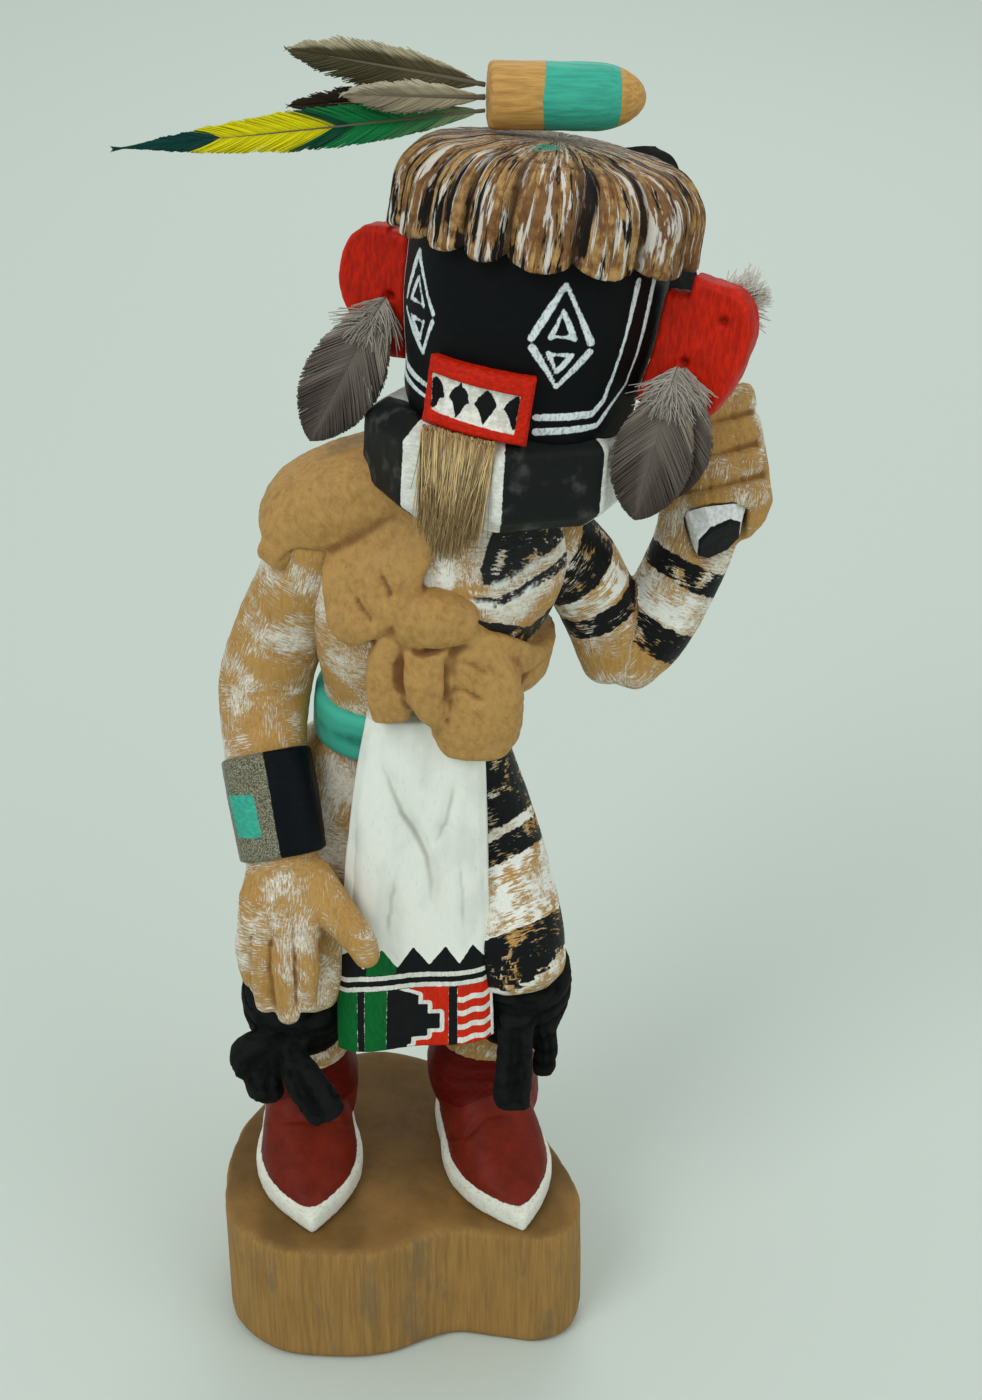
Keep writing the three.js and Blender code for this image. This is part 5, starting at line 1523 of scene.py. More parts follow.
def build_mask():
    """The black mask with its painted eyes, and the mouth block on its front."""
    sections = spline([[-16, 17], [-6, CHIN_RADIUS], [2, CHIN_RADIUS + 1], [12, MASK_RADIUS - 0.4],
                         [20, MASK_RADIUS], [32, MASK_RADIUS]], 110)
    rings = [ring(on_head(0, 0, up), HEAD[1], HEAD[2], radius, radius, 280, 2.1) for up, radius in sections]
    mask = Carving("mask", [shell(rings)])
    mask.knife(0.07, 3.6, 101)
    angle, up, _ = head_place(mask.co)
    scale = math.radians(1) * 24.5
    flat = np.c_[angle * scale, up]
    best = np.full(len(flat), -5.0)
    for path, half in MASK_STROKES:
        distance, where = from_path(flat, [(a * scale, u) for a, u in path])
        swell = half * (0.82 + 0.28 * np.sin(where * 7 + path[0][0]))
        best = np.maximum(best, swell - distance)
    mask.press(0.05 * ease(-0.1, 0.2, best))
    mask.plan("lines", best)
    mask.finish(mask_finish())

    rows, columns = 44, 110
    up = np.linspace(-6.8, 6.4, rows)[:, None]
    angle = np.linspace(-24, 24, columns)[None]
    scale = math.radians(1) * MOUTH_RADIUS
    turn, height = angle + 0 * up, up + 0 * angle
    plane = np.c_[turn.ravel() * scale, height.ravel()]
    edge = inside_polygon(plane,
                          [(-24 * scale, -6.8), (-24 * scale, 6.4), (24 * scale, 6.4), (24 * scale, -6.8)])
    field = inside_polygon(plane,
                           [(-21.4 * scale, 3.2), (18.8 * scale, 2.7), (18.4 * scale, -4.9),
                            (-19.6 * scale, -3.9)])
    radius = MOUTH_RADIUS - 0.8 * ease(1.0, 0, edge) ** 2 - 1.5 * ease(-0.25, 0.35, field)
    front = round_head(turn, radius.reshape(rows, columns), height)
    back = round_head(turn, 20 + 0 * turn, height)
    mouth = Carving("mouth_block", [slab(front, back)])
    mouth.knife(0.09, 1.8, 102)
    back_side = np.full(rows * columns, -3.0)
    mouth.plan("field", np.r_[field, back_side])
    teeth = np.full(rows * columns, -3.0)
    middle = -0.5
    for centre, wide in ((-9.6, 2.5), (-3.7, 2.45), (2.2, 2.45), (8.4, 2.6)):
        bend = 0.35 * np.sin(plane[:, 0] * 2.1)
        teeth = np.maximum(teeth, 1.6 * (1 - np.abs(plane[:, 0] - centre) / wide
                                         - np.abs(plane[:, 1] - middle - bend) / 3.5))
    mouth.plan("teeth", np.r_[np.minimum(teeth, field), back_side])
    mouth.finish(mouth_finish())


NOTCHES = [-52, -30.6, -12.5, 4.6, 30.8, 56.7, 88, 110, 132, 154, 176, 198, 220, 242, 264, 286, 308]


def build_hair():
    """The carved cap of locks that falls to a scalloped fringe."""
    columns = 360
    angle = np.linspace(-52, 308, columns, endpoint=False)
    phase = np.interp(angle, NOTCHES, np.arange(len(NOTCHES)))
    lobe = np.abs(np.sin(np.pi * phase)) ** 0.6
    fine = np.abs(np.sin(np.pi * phase * 4 + 0.5 * np.sin(angle * 0.7)))
    finest = np.abs(np.sin(np.pi * phase * 9 + 1.3 * np.sin(angle * 0.43)))
    profile = spline([[28.6, 24.4, 0, 0], [27.6, 26.6, 0.3, 0.2], [26.6, 28.6, 0.9, 0.7],
                      [27.0, 29.9, 1.3, 1],
                      [29.5, 29.9, 1.4, 1], [37.0, 29.6, 1.2, 1], [41.2, 27.6, 0.9, 1], [44.0, 24.0, 0.6, 1],
                      [45.0, 19, 0.35, 0.9], [46.1, 14, 0.15, 0.8], [46.5, 8, 0.05, 0.6],
                      [46.6, 2.5, 0, 0.3]], 84)
    rings, lock = [], []
    run = 0.0
    for k, (up, radius, swell, cut) in enumerate(profile):
        lower = 3.0 * (1 - lobe) * max(0, 1 - abs(up - 27.2) / 3.5) * (radius > MASK_RADIUS)
        wobble = lumps(np.c_[angle * 0.12, np.full(columns, up * 0.3), np.full(columns, radius * 0.3)], 1,
                       111)
        r = radius + swell * (lobe - 0.7) * 2.4 - cut * (0.8 * (1 - fine) ** 1.5 + 0.35
                                                         * (1 - finest)) + 0.18 * wobble
        rings.append(round_head(angle, r, up + lower))
        if k:
            run += float(np.hypot(up - profile[k - 1][0], radius - profile[k - 1][1]))
        lock.append(np.c_[phase * 8, np.full(columns, run), np.full(columns, float(k < 12))])
    lock = np.vstack(lock)
    lock = np.vstack([lock, lock[0], lock[-1]])
    lock[:, 1] = run - lock[:, 1]
    groove = np.tile((1 - lobe) ** 1.3, len(profile)) * (lock[:-2, 1] > 6)
    hair = Carving("hair", [shell(rings)])
    hair.knife(0.08, 1.8, 112)
    hair.plan("lock", lock)
    hair.plan("groove", np.r_[groove, 0, 0])
    smear = from_path(hair.co, [(31, -17, 290), (33.5, -14.5, 291.5)])[0]
    hair.plan("smear", 2.6 - smear)
    hair.finish(hair_finish())


def build_ruff():
    """The eight-sided ruff, painted white and black by turns."""
    half, rim = RUFF_HEIGHT / 2, RUFF_CORNER * math.cos(math.radians(22.5))
    section = [(14, -half + 2), (rim - 4.5, -half), (rim - 4.0, -half + 0.2), (rim - 0.4, -half + 3.1),
               (rim, -half + 3.9), (rim, half - 3.9), (rim - 0.4, half - 3.1), (rim - 4.0, half - 0.2),
               (rim - 4.5, half), (14, half - 2)]
    dense = [*filled_in(section, 0.6), section[-1]]
    rings, plans = [], []
    for angle in np.linspace(-22.5, 337.5, 288, endpoint=False):
        turn = (angle + 22.5) % 45 - 22.5
        wide = 1 / math.cos(math.radians(min(abs(turn), 20.6)))
        rings.append([at_axes(RUFF, (r * wide if r > 15 else r) * math.sin(math.radians(angle)),
                              (r * wide if r > 15 else r) * math.cos(math.radians(angle)), up)
                              for r, up in dense])
        odd = int((angle + 22.5) // 45) % 2
        edge = (22.5 - abs(turn)) * math.radians(1) * rim
        plans += [edge if odd else -edge] * len(dense)
    ruff = Carving("ruff", [torus(rings)])
    ruff.plan("dark", plans)
    ruff.knife(0.12, (3.0, 3.0, 5.0), 121)
    ruff.finish(ruff_finish())


# Side, the foot's two corners, the curve's pull and far points, the top corner, and the holes.
EARS = {
    "right": (-1, [(24.2, -1.8), (28, -2.2)], (39, 2), (41.4, 12), (39, 23.4), [(-29.2, 3.2, 10.4)]),
    "left": (1, [(24.2, 1), (37, -1.5)], (43, 3), (45, 17), (42.5, 26.4), [(33, 3.2, 10.6), (39, 3.2, 20)]),
}


def build_ears():
    """The two red ear boards."""
    material = worn_paint("ear_red", colours().scarlet, 0.5, (1.5, 1.5, 0.3), 0.05)
    for side, (sign, foot, pull, far, top, holes) in EARS.items():
        t = np.linspace(0, 1, 30)[:, None]

        def curve(a, b, c):
            a, b, c = (np.array(p, float) for p in (a, b, c))
            return a * (1 - t) ** 2 + 2 * b * t * (1 - t) + c * t * t
        line = [np.array(foot), curve(foot[1], pull, far)[1:],
                curve(far, (far[0], top[1] - 2), (top[0] - 3, top[1]))[1:],
                np.array([(31.6, top[1] + 0.8), (31.4, 23.4), (26.6, 23.2), (26.1, 12)])]
        corners = np.vstack(line)
        dense = filled_in([*corners, corners[0]], 0.5)
        middle = dense.mean(axis=0)
        rings = []
        for depth, share in ((-3.5, 0.93), (-3.4, 0.96), (-2.7, 0.99), (-1.9, 1), (1.4, 1), (2.5, 0.985),
                             (3.4, 0.93),
                             (3.5, 0.90)):
            flat = middle + (dense - middle) * share
            rings.append(on_head(sign * flat[:, 0], depth - 0.5, flat[:, 1]))
        ear = Carving("ear_board_" + side, [shell(rings)], 0.45, 2)
        left, forward, up = in_axes(ear.co, HEAD).T
        ear.press(0.16 * lumps(np.c_[left * 1.3, forward * 0.6, up * 0.22], 1, 131))
        ear.knife(0.09, 2.6, 132)
        for hole in holes:
            distance = np.linalg.norm(ear.co - on_head(*hole), axis=1)
            ear.press(-1.4 * ease(0, 1, 1 - distance / 1.6))
        ear.finish(material, "red_paint", "ear_" + side)


def build_tube():
    """The tube on the crown, blunt at one end and rounded at the other."""
    start, end = np.array(TUBE_START, float), np.array(TUBE_END, float)
    w = unit(end - start)
    u = unit(np.cross((0, 1, 0), w))
    v = np.cross(w, u)
    straight = TUBE_LENGTH - 12
    profile = [(0, 1.5), (0, TUBE_RADIUS - 0.9), (0.25, TUBE_RADIUS - 0.3), (0.8, TUBE_RADIUS)]
    profile += [(d, TUBE_RADIUS) for d in np.linspace(1.6, straight, 32)]
    profile += [(straight + 10 * f ** 1.1, TUBE_RADIUS * math.sqrt(max(0.004, 1 - f * f)))
                for f in np.sin(np.linspace(0.06, 1, 26) * np.pi / 2)]
    tube = Carving("crown_tube", [shell([ring(start + w * d, u, v, r, r, 128, 2) for d, r in profile])])
    tube.knife(0.10, (5, 1.6, 1.6), 141)
    off = tube.co - start
    bend = np.abs(off[:, 2] / TUBE_RADIUS)
    tube.plan("band", between(off @ w, 9.6 + bend, 24.6))
    tube.finish(tube_finish(), "turquoise_paint", "head_tube")


# ---- feathers -----------------------------------------------------------------------------------

def barb_tree():
    """Sets a tapering barb on every loose point, turned and drawn out as the point says."""
    tree = bpy.data.node_groups.new("Barbs", "GeometryNodeTree")
    face = tree.interface
    face.new_socket("Geometry", in_out="INPUT", socket_type="NodeSocketGeometry")
    for name, default in (("Width", 0.0003), ("Thickness", 0.00008), ("Curl", 0.001), ("Taper", 0.7)):
        socket = face.new_socket(name, in_out="INPUT", socket_type="NodeSocketFloat")
        socket.default_value = default
    face.new_socket("Material", in_out="INPUT", socket_type="NodeSocketMaterial")
    face.new_socket("Geometry", in_out="OUTPUT", socket_type="NodeSocketGeometry")

    def node(kind, settings=None, inputs=None):
        made = tree.nodes.new(kind)
        for name, value in (settings or {}).items():
            setattr(made, name, value)
        for name, value in (inputs or {}).items():
            if isinstance(value, bpy.types.NodeSocket):
                tree.links.new(value, made.inputs[name])
            else:
                made.inputs[name].default_value = value
        return made

    def maths(operation, a, b):
        return node("ShaderNodeMath", {"operation": operation}, {0: a, 1: b}).outputs[0]
    given = node("NodeGroupInput").outputs
    cell = node("ShaderNodeCombineXYZ", inputs={0: 1.0, 1: given["Width"], 2: given["Thickness"]}).outputs[0]
    barb = node("GeometryNodeMeshCube",
                inputs={"Size": cell, "Vertices X": 4, "Vertices Y": 2, "Vertices Z": 2})
    place = node("ShaderNodeSeparateXYZ", inputs={0: node("GeometryNodeInputPosition").outputs[0]}).outputs
    out = maths("ADD", place[0], 0.5)
    thin = maths("SUBTRACT", 1.0, maths("MULTIPLY", out, given["Taper"]))
    bend = maths("MULTIPLY", maths("MULTIPLY", out, out), given["Curl"])
    across = maths("ADD", maths("MULTIPLY", place[1], thin), bend)
    moved = node("ShaderNodeCombineXYZ",
                 inputs={0: out, 1: across, 2: maths("MULTIPLY", place[2], thin)}).outputs[0]
    kept = node("GeometryNodeStoreNamedAttribute", {"data_type": "FLOAT", "domain": "POINT"},
                {"Geometry": barb.outputs["Mesh"], "Name": "out", "Value": out}).outputs[0]
    shaped = node("GeometryNodeSetPosition", inputs={"Geometry": kept, "Position": moved}).outputs[0]

    def named(name, kind):
        return node("GeometryNodeInputNamedAttribute", {"data_type": kind},
                    {"Name": name}).outputs["Attribute"]
    loose = node("FunctionNodeCompare", {"data_type": "FLOAT", "operation": "LESS_THAN"},
                 {0: named("shaft", "FLOAT"), 1: 0.5}).outputs[0]
    scale = node("ShaderNodeCombineXYZ", inputs={0: named("reach", "FLOAT"), 1: 1.0, 2: 1.0}).outputs[0]
    spread = node("GeometryNodeInstanceOnPoints", inputs={
        "Points": given["Geometry"], "Selection": loose, "Instance": shaped,
        "Rotation": named("turn", "FLOAT_VECTOR"), "Scale": scale}).outputs[0]
    shaft = node("GeometryNodeDeleteGeometry", {"domain": "POINT"},
                 {"Geometry": given["Geometry"], "Selection": loose}).outputs[0]
    joined = node("GeometryNodeJoinGeometry")
    tree.links.new(spread, joined.inputs[0])
    tree.links.new(shaft, joined.inputs[0])
    real = node("GeometryNodeRealizeInstances", inputs={"Geometry": joined.outputs[0]}).outputs[0]
    done = node("GeometryNodeSetMaterial",
                inputs={"Geometry": real, "Material": given["Material"]}).outputs[0]
    node("NodeGroupOutput", inputs={0: done})
    return tree


def grow(name, shafts, roots, directions, normals, reach, along, side, chance, material, slot, *nodes,
         **settings):
    """Grows barbs or hairs at roots (mm) in given directions, and joins them to their shafts."""
    tree = bpy.data.node_groups.get("Barbs") or barb_tree()
    points, faces = joined([*shafts, (roots, [])])
    thing = new_thing(name, points, faces)
    first = len(points) - len(roots)
    x = unit(directions)
    z = unit(normals - np.einsum("ij,ij->i", normals, x)[:, None] * x)
    y = np.cross(z, x)
    turns = [Matrix(np.stack(axes, axis=1).tolist()).to_euler() for axes in zip(x, y, z)]
    for key, on_shaft, values in (("shaft", 1.0, np.zeros(len(roots))), ("reach", 0.0, reach * MM),
                                  ("along", 0.5, along), ("side", 0.0, side), ("chance", 0.0, chance)):
        hold(thing.data, key, np.r_[np.full(first, on_shaft), values])
    hold(thing.data, "turn", np.vstack([np.zeros((first, 3)), turns]))
    barbs = thing.modifiers.new("Barbs", "NODES")
    barbs.node_group = tree
    settings["Material"] = material
    for socket in tree.interface.items_tree:
        if socket.in_out == "INPUT" and socket.name in settings:
            barbs[socket.identifier] = settings[socket.name]
    settle(thing)
    if len(thing.data.vertices) <= len(points):
        raise RuntimeError(name + " grew no barbs")
    thing.data.polygons.foreach_set("use_smooth", np.ones(len(thing.data.polygons), bool))
    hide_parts(*nodes)
    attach(thing, "root")


def feather(name, root, tip, wide, facing, material, slot, *nodes, lift=0.5, belly=0.55, sweep=38, step=0.3,
            seed=1, ragged=0.12, curl=0.0008, quill=0.5, layers=1, gaps=0.0, start=0.0, fluff=0.0, full=0.6,
            taper=0.5, clumps=1.0):
    """One feather: a tapering shaft and barbs that sweep forward from both its sides."""
    rng = np.random.default_rng(seed)
    root, tip = np.array(root, float), np.array(tip, float)
    span = tip - root
    long = np.linalg.norm(span)
    along_axis = span / long
    normal = np.asarray(facing, float)
    normal = unit(normal - (normal @ along_axis) * along_axis)
    across = np.cross(along_axis, normal)

    def at(t):
        t = np.asarray(t, float)
        return root + np.outer(t, span) + np.outer(lift * np.sin(np.pi * t), normal)
    shares = np.linspace(0, 0.97, 9)
    stations = [[*point, max(0.14, quill * (1 - 0.75 * t)), max(0.12, 0.8 * quill * (1 - 0.75 * t))]
                for t, point in zip(shares, at(shares))]
    shaft = limb(stations, np.cross(along_axis, normal), 2.0, 0.5, 10, 4)
    parts = []
    for layer in range(layers):
        for sign in (-1, 1):
            t = np.arange(start, 0.985, step / long)
            t = t + rng.uniform(-0.2, 0.2, len(t)) * step / long
            clump = np.floor(t * long / 1.7)
            drift = clumps * rng.uniform(-1, 1, int(clump.max()) + 2)[clump.astype(int)]
            angle = sweep + 10 * t + 3 * drift + rng.uniform(-2, 2, len(t))
            angle = np.radians(angle + fluff * rng.uniform(-1, 1, len(t)))
            near, far = np.zeros(len(t)), np.full(len(t), float(wide))
            for _ in range(24):
                middle = (near + far) / 2
                place = np.clip(t + middle * np.tan(angle) / long, 0.001, 0.9995)
                leaf = np.sin(np.pi * place ** (math.log(0.5) / math.log(belly))) ** full
                inside = middle < wide / 2 * leaf
                near, far = np.where(inside, middle, near), np.where(inside, far, middle)
            reach = np.maximum(0.4, near / np.cos(angle) * (1 + ragged * (drift - rng.uniform(0, 1, len(t)))))
            keep = rng.uniform(0, 1, len(t)) > gaps * (drift > 0.2)
            direction = (np.outer(np.sin(angle), along_axis) + np.outer(sign * np.cos(angle), across)
                         + np.outer(rng.uniform(-0.05, 0.05, len(t)) + fluff / 60 * rng.uniform(-1, 1, len(t))
                                    - 0.10 + 0.12 * layer, normal))
            base = at(t) + normal * (0.10 * layer)
            parts.append([a[keep] for a in (base, direction, np.tile(normal * sign, (len(t), 1)), reach, t,
                                            np.full(len(t), float(sign)), rng.uniform(0, 1, len(t)))])
    columns = [np.concatenate(column) for column in zip(*parts)]
    sizes = bpy.context.scene.doll_sizes
    grow(name, [shaft], *columns, material, slot, *nodes, Width=sizes.barb_width,
         Thickness=sizes.barb_thickness, Curl=curl, Taper=taper)


def shades(*stops):
    """Stops of (share, red, green, blue), as shares along a feather with the shader's colours."""
    return [(share, linear(*screen)) for share, *screen in stops]


# Paint, shades, tips' colour, root, tip, width, gaps, and where the barbs start.
CREST = {
    "upper": ("crest_olive", shades((0, 88, 80, 56), (0.4, 74, 68, 46), (1, 62, 56, 42)),
              linear(170, 160, 130), (20.8, -6.2, 300.2), (-16, -10, 307.5), 9.5, 0.12, 0.03),
    "lower": ("crest_beige", shades((0, 160, 148, 122), (0.5, 138, 126, 104), (1, 112, 100, 84)),
              linear(186, 176, 152), (20.8, -7.5, 298.1), (-6, -12, 299.5), 7.4, 0.12, 0.03),
    "dark": ("crest_dark", shades((0, 70, 54, 38), (0.5, 52, 40, 30), (1, 40, 32, 26)),
             None, (20.8, -3.6, 297.4), (-17, -3, 295.5), 7.6, 0.2, 0.05),
}
# Root and tip in the head's frame, width and belly.
HUNG = {
    "ear_feather_right": ((-29.2, 5, 10.4), (-37.5, 15, -19.0), 17.5, 0.56),
    "ear_feather_left_front": ((32.6, 6, 10.4), (30.6, 9.6, -20.0), 17, 0.6),
    "ear_feather_left_back": ((33.6, 4, 10), (36.8, 5.4, -15), 14, 0.56),
}


def build_feathers():
    """The crest feathers, the long green feather, and the body feathers on the ears."""
    ahead, face = (0.1, -1, 0.35), HEAD[2]
    green = shades((0, 110, 132, 92), (0.10, 60, 122, 74), (0.20, 20, 124, 66), (0.34, 10, 74, 50),
                   (0.40, 224, 214, 10), (0.70, 8, 62, 56), (1, 8, 62, 56))
    feather("feather_tail", (20.8, -8, 295.8), (-50, -12, 289.5), 9.0, ahead,
            feather_finish("tail_green", green, rough=0.4), "tail_feather", "tail_feather", lift=-1.5,
            belly=0.42, sweep=56, step=0.24, seed=201, quill=0.4, gaps=0.05, layers=2, full=0.85,
            start=0.02, ragged=0.06)
    for number, (name, (paint, stops, tips, root, tip, wide, gaps, start)) in enumerate(CREST.items()):
        feather("feather_crest_" + name, root, tip, wide, ahead, feather_finish(paint, stops, tips=tips),
                "crest_feather", "crest_feather_" + name, sweep=52, step=0.2, seed=202 + number,
                layers=2, gaps=gaps, start=start)
    dusk = [*shades((0, 150, 138, 126), (0.2, 112, 102, 94)), (0.5, colours().quill),
            *shades((1, 66, 58, 54))]
    grey = feather_finish("body_grey", dusk, 0.4)
    fluff = feather_finish("down_grey", shades((0, 176, 166, 156), (1, 150, 138, 128)))
    for number, (node, (root, tip, wide, belly)) in enumerate(HUNG.items()):
        root, tip = on_head(*root), on_head(*tip)
        feather("body_" + node, root, tip, wide, face, grey, "grey_feather", node, lift=0.6, belly=belly,
                sweep=44, step=0.17, seed=210 + number, quill=0.22, layers=2, ragged=0.03, curl=0.0006,
                taper=0.3, clumps=0.25, full=0.62)
        feather("down_" + node, root, root + 0.30 * (tip - root), 13, face, fluff, "grey_feather", node,
                lift=1.2, belly=0.5, sweep=26, step=0.05, seed=240 + number, quill=0.15, ragged=0.5,
                curl=0.002, fluff=34)
    down = feather_finish("down_white", shades((0, 214, 208, 196), (1, 206, 200, 190)))
    feather("down_tuft", on_head(35.5, -5, 21.0), on_head(43.6, -6.5, 24.6), 12, face, down, "grey_feather",
            "ear_down", lift=0.4, belly=0.5, sweep=20, step=0.07, seed=220, quill=0.15, layers=2,
            ragged=0.6, curl=0.002, fluff=40)


def build_beard():
    """The tuft of hair that hangs below the mouth."""
    rng = np.random.default_rng(230)
    count = 1700
    spread = rng.uniform(-1, 1, count)
    root = on_head(-2.0 + spread * 7.6, 26.8 + rng.uniform(-1, 0.9, count),
                   -7.2 + rng.uniform(-1.2, 0.6, count))
    droop = rng.uniform(16, 25.5, count) - 5.5 * np.abs(spread) ** 1.5
    stray = rng.uniform(0, 1, count) > 0.975
    droop = np.where(stray, droop * 1.12, droop)
    tip = on_head(-2.0 + spread * 5.6 + rng.normal(0, 0.9, count), 27.4 + rng.uniform(-1.0, 1.2, count),
                  -7.2 - droop)
    direction = tip - root
    reach = np.linalg.norm(direction, axis=1)
    normal = HEAD[2] + rng.normal(0, 0.8, (count, 3))
    keep = stray | (rng.uniform(0, 1, count) > 0.02)
    thick = 2.4 * bpy.context.scene.doll_sizes.hair_radius
    grow("beard_tuft", [], root[keep], direction[keep], normal[keep], reach[keep], spread[keep] * 0.5 + 0.5,
         np.zeros(keep.sum()), rng.uniform(0, 1, keep.sum()), fur_finish(), "fur", "beard",
         Width=thick, Thickness=thick, Curl=0.0012, Taper=0.6)


# ---- stage ----------------------------------------------------------------------------------------

def build_stage():
    """A pale floor, soft light and the camera."""
    f = Finish("studio_floor", 0.2)
    cloud = f.noise(f.at, 120.0, 2.0).step(0.2, 0.8)
    paint = f.done(f.mix(cloud * 0.05, colours().floor, linear(196, 210, 201)), 0.85)
    half = FLOOR_WIDTH / 2
    corners = [(-half, -half, 0), (half, -half, 0), (half, half, 0), (-half, half, 0)]
    floor = new_thing("studio_floor", corners, [(0, 1, 2, 3)])
    floor.data.materials.append(paint)

    for name, place, aim, lamp_power, width in (
            ("key_light", (-0.75, -0.95, 1.30), (0, 0, 0.15), 9, 0.7),
            ("fill_light", (0.95, -0.75, 0.95), (0, 0, 0.15), 4, 1.0),
            ("back_light", (0.25, 1.1, 1.2), (0, 0, 0.2), 3, 0.9),
            ("floor_light", (0.0, 2.1, 1.3), (0, 1.6, 0), 6, 1.4)):
        lamp = bpy.data.lights.new(name, "AREA")
        lamp.energy, lamp.size = lamp_power, width
        light = placed(name, lamp)
        light.location = place
        z = unit(np.subtract(place, aim))
        x = unit(np.cross((0, 0, 1), z))
        light.rotation_euler = Matrix(np.stack([x, np.cross(z, x), z], axis=1).tolist()).to_euler()
    world = bpy.data.worlds.new("studio")
    world.use_nodes = True
    sky = world.node_tree.nodes["Background"].inputs
    sky["Color"].default_value, sky["Strength"].default_value = (*linear(226, 236, 232), 1), 0.72
    bpy.context.scene.world = world
    bpy.context.scene.view_settings.view_transform = "Standard"

    lens = bpy.data.cameras.new("main_camera")
    lens.lens, lens.sensor_width, lens.sensor_fit = 52.2, 36, "AUTO"
    lens.dof.use_dof = False
    camera = placed("main_camera", lens)
    camera.location = (0.022, -0.396, 0.384)
    camera.rotation_euler = (math.radians(90 - 29), 0, 0)
    bpy.context.scene.camera = camera


# ---- the add-on --------------------------------------------------------------------------------

class DOLL_OT_base(bpy.types.Operator):
    """Carve and paint the root slice that the doll stands on"""

    bl_idname = "doll.base"
    bl_label = "Base"

    def execute(self, context):
        build_base()
        return {"FINISHED"}


class DOLL_OT_legs(bpy.types.Operator):
    """Carve and paint both legs with their moccasins"""

    bl_idname = "doll.legs"
    bl_label = "Legs"

    def execute(self, context):
        build_legs()
        return {"FINISHED"}


class DOLL_OT_ties(bpy.types.Operator):
    """Carve the black cloths under the knees"""

    bl_idname = "doll.ties"
    bl_label = "Knee ties"

    def execute(self, context):
        build_ties()
        return {"FINISHED"}


class DOLL_OT_trunk(bpy.types.Operator):
    """Carve and paint the chest and belly"""

    bl_idname = "doll.trunk"
    bl_label = "Trunk"

    def execute(self, context):
        build_trunk()
        return {"FINISHED"}


class DOLL_OT_belt(bpy.types.Operator):
    """Carve the turquoise belt"""

    bl_idname = "doll.belt"
    bl_label = "Belt"

    def execute(self, context):
        build_belt()
        return {"FINISHED"}


class DOLL_OT_sash(bpy.types.Operator):
    """Carve the sash's panels and paint its border"""

    bl_idname = "doll.sash"
    bl_label = "Sash"

    def execute(self, context):
        build_sash()
        return {"FINISHED"}


class DOLL_OT_cape(bpy.types.Operator):
    """Carve the knotted cape"""

    bl_idname = "doll.cape"
    bl_label = "Cape"

    def execute(self, context):
        build_cape()
        return {"FINISHED"}


class DOLL_OT_right_arm(bpy.types.Operator):
    """Carve the right arm, its hand and the bracelet"""

    bl_idname = "doll.right_arm"
    bl_label = "Right arm"

    def execute(self, context):
        build_right_arm()
        return {"FINISHED"}


class DOLL_OT_left_arm(bpy.types.Operator):
    """Carve the raised arm and its fist"""

    bl_idname = "doll.left_arm"
    bl_label = "Left arm"

    def execute(self, context):
        build_left_arm()
        return {"FINISHED"}


class DOLL_OT_club(bpy.types.Operator):
    """Cut the faceted club"""

    bl_idname = "doll.club"
    bl_label = "Club"

    def execute(self, context):
        build_club()
        return {"FINISHED"}


class DOLL_OT_mask(bpy.types.Operator):
    """Carve the mask and mouth and paint the eyes"""

    bl_idname = "doll.mask"
    bl_label = "Mask"

    def execute(self, context):
        build_mask()
        return {"FINISHED"}


class DOLL_OT_hair(bpy.types.Operator):
    """Carve the cap of locks"""

    bl_idname = "doll.hair"
    bl_label = "Hair"

    def execute(self, context):
        build_hair()
        return {"FINISHED"}


class DOLL_OT_ruff(bpy.types.Operator):
    """Carve the eight-sided ruff"""

    bl_idname = "doll.ruff"
    bl_label = "Ruff"

    def execute(self, context):
        build_ruff()
        return {"FINISHED"}


class DOLL_OT_ears(bpy.types.Operator):
    """Carve the two red ear boards"""

    bl_idname = "doll.ears"
    bl_label = "Ears"

    def execute(self, context):
        build_ears()
        return {"FINISHED"}


class DOLL_OT_tube(bpy.types.Operator):
    """Turn the tube on the crown"""

    bl_idname = "doll.tube"
    bl_label = "Crown tube"

    def execute(self, context):
        build_tube()
        return {"FINISHED"}


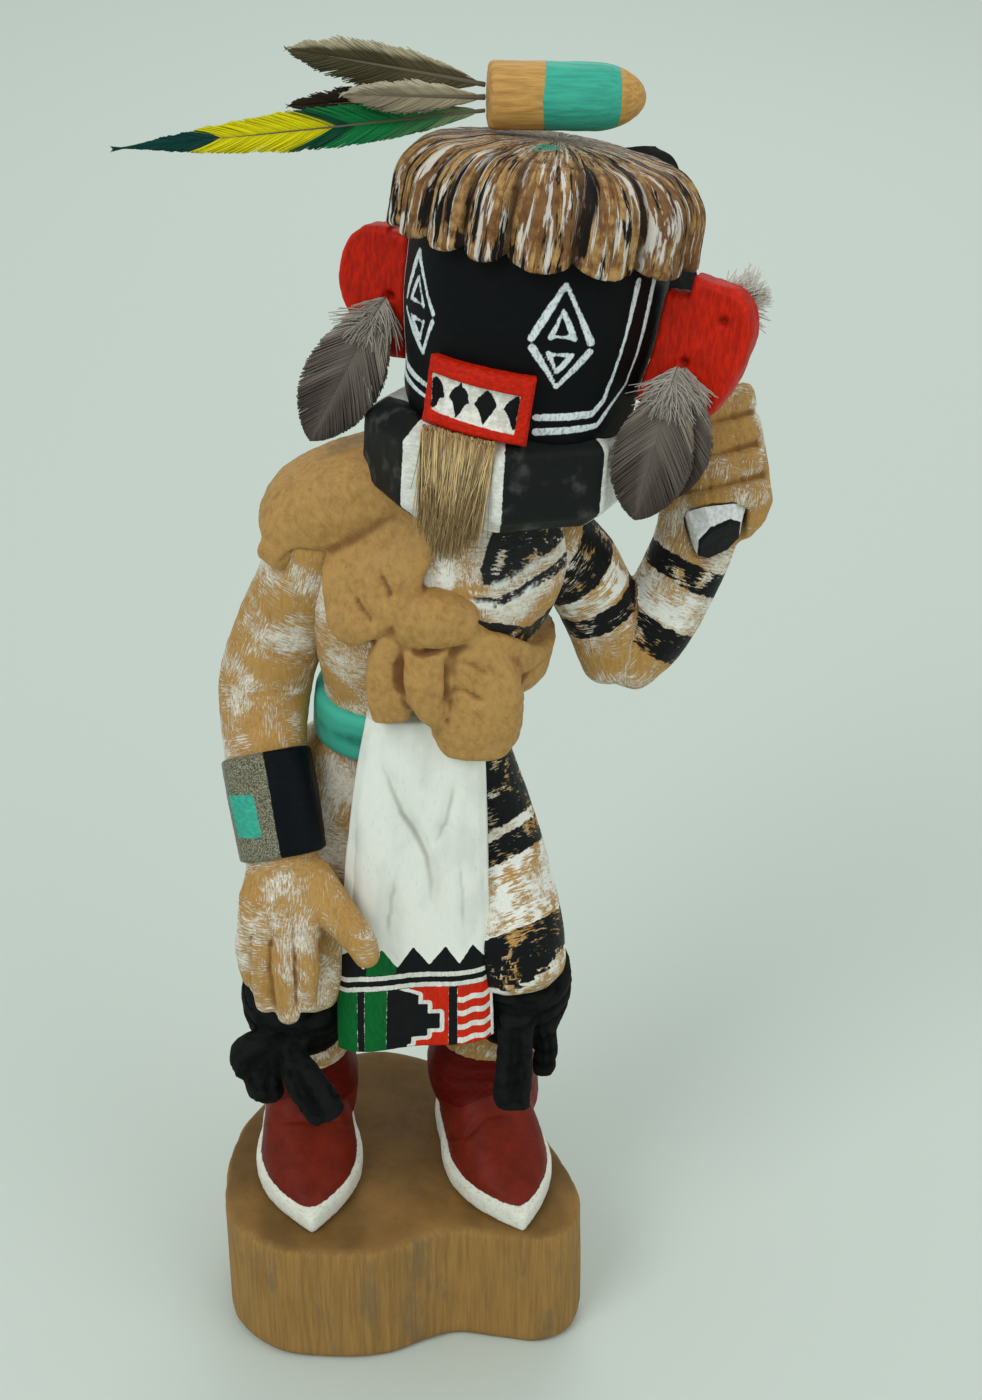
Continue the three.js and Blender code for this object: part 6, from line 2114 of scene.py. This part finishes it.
class DOLL_OT_feathers(bpy.types.Operator):
    """Grow every feather barb by barb"""

    bl_idname = "doll.feathers"
    bl_label = "Feathers"

    def execute(self, context):
        build_feathers()
        return {"FINISHED"}


class DOLL_OT_beard(bpy.types.Operator):
    """Grow the tuft of hair under the mouth"""

    bl_idname = "doll.beard"
    bl_label = "Beard"

    def execute(self, context):
        build_beard()
        return {"FINISHED"}


class DOLL_OT_stage(bpy.types.Operator):
    """Set the floor, the lights and the camera"""

    bl_idname = "doll.stage"
    bl_label = "Stage"

    def execute(self, context):
        build_stage()
        return {"FINISHED"}


OPERATORS = (
    DOLL_OT_base, DOLL_OT_legs, DOLL_OT_ties, DOLL_OT_trunk, DOLL_OT_belt, DOLL_OT_sash,
    DOLL_OT_cape, DOLL_OT_right_arm, DOLL_OT_left_arm, DOLL_OT_club, DOLL_OT_mask, DOLL_OT_hair,
    DOLL_OT_ruff, DOLL_OT_ears, DOLL_OT_tube, DOLL_OT_feathers, DOLL_OT_beard, DOLL_OT_stage,
)


class DOLL_PT_panel(bpy.types.Panel):
    """Lists the doll's pieces, sizes and colours"""

    bl_idname = "DOLL_PT_panel"
    bl_label = "Kachina Doll"
    bl_space_type = "VIEW_3D"
    bl_region_type = "UI"
    bl_category = "Doll"

    def draw(self, context):
        for operator in OPERATORS:
            self.layout.operator(operator.bl_idname)
        for group in (context.scene.doll_sizes, context.scene.doll_colours):
            box = self.layout.box()
            for name in group.__annotations__:
                box.prop(group, name)


CLASSES = (DollColours, DollSizes, *OPERATORS, DOLL_PT_panel)


def register():
    for made in CLASSES:
        bpy.utils.register_class(made)
    bpy.types.Scene.doll_colours = bpy.props.PointerProperty(type=DollColours)
    bpy.types.Scene.doll_sizes = bpy.props.PointerProperty(type=DollSizes)


def unregister():
    del bpy.types.Scene.doll_sizes
    del bpy.types.Scene.doll_colours
    for made in reversed(CLASSES):
        bpy.utils.unregister_class(made)


def main():
    """Registers the add-on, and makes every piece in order."""
    register()
    for operator in OPERATORS:
        group, name = operator.bl_idname.split(".")
        getattr(getattr(bpy.ops, group), name)()


if __name__ == "__main__":
    main()
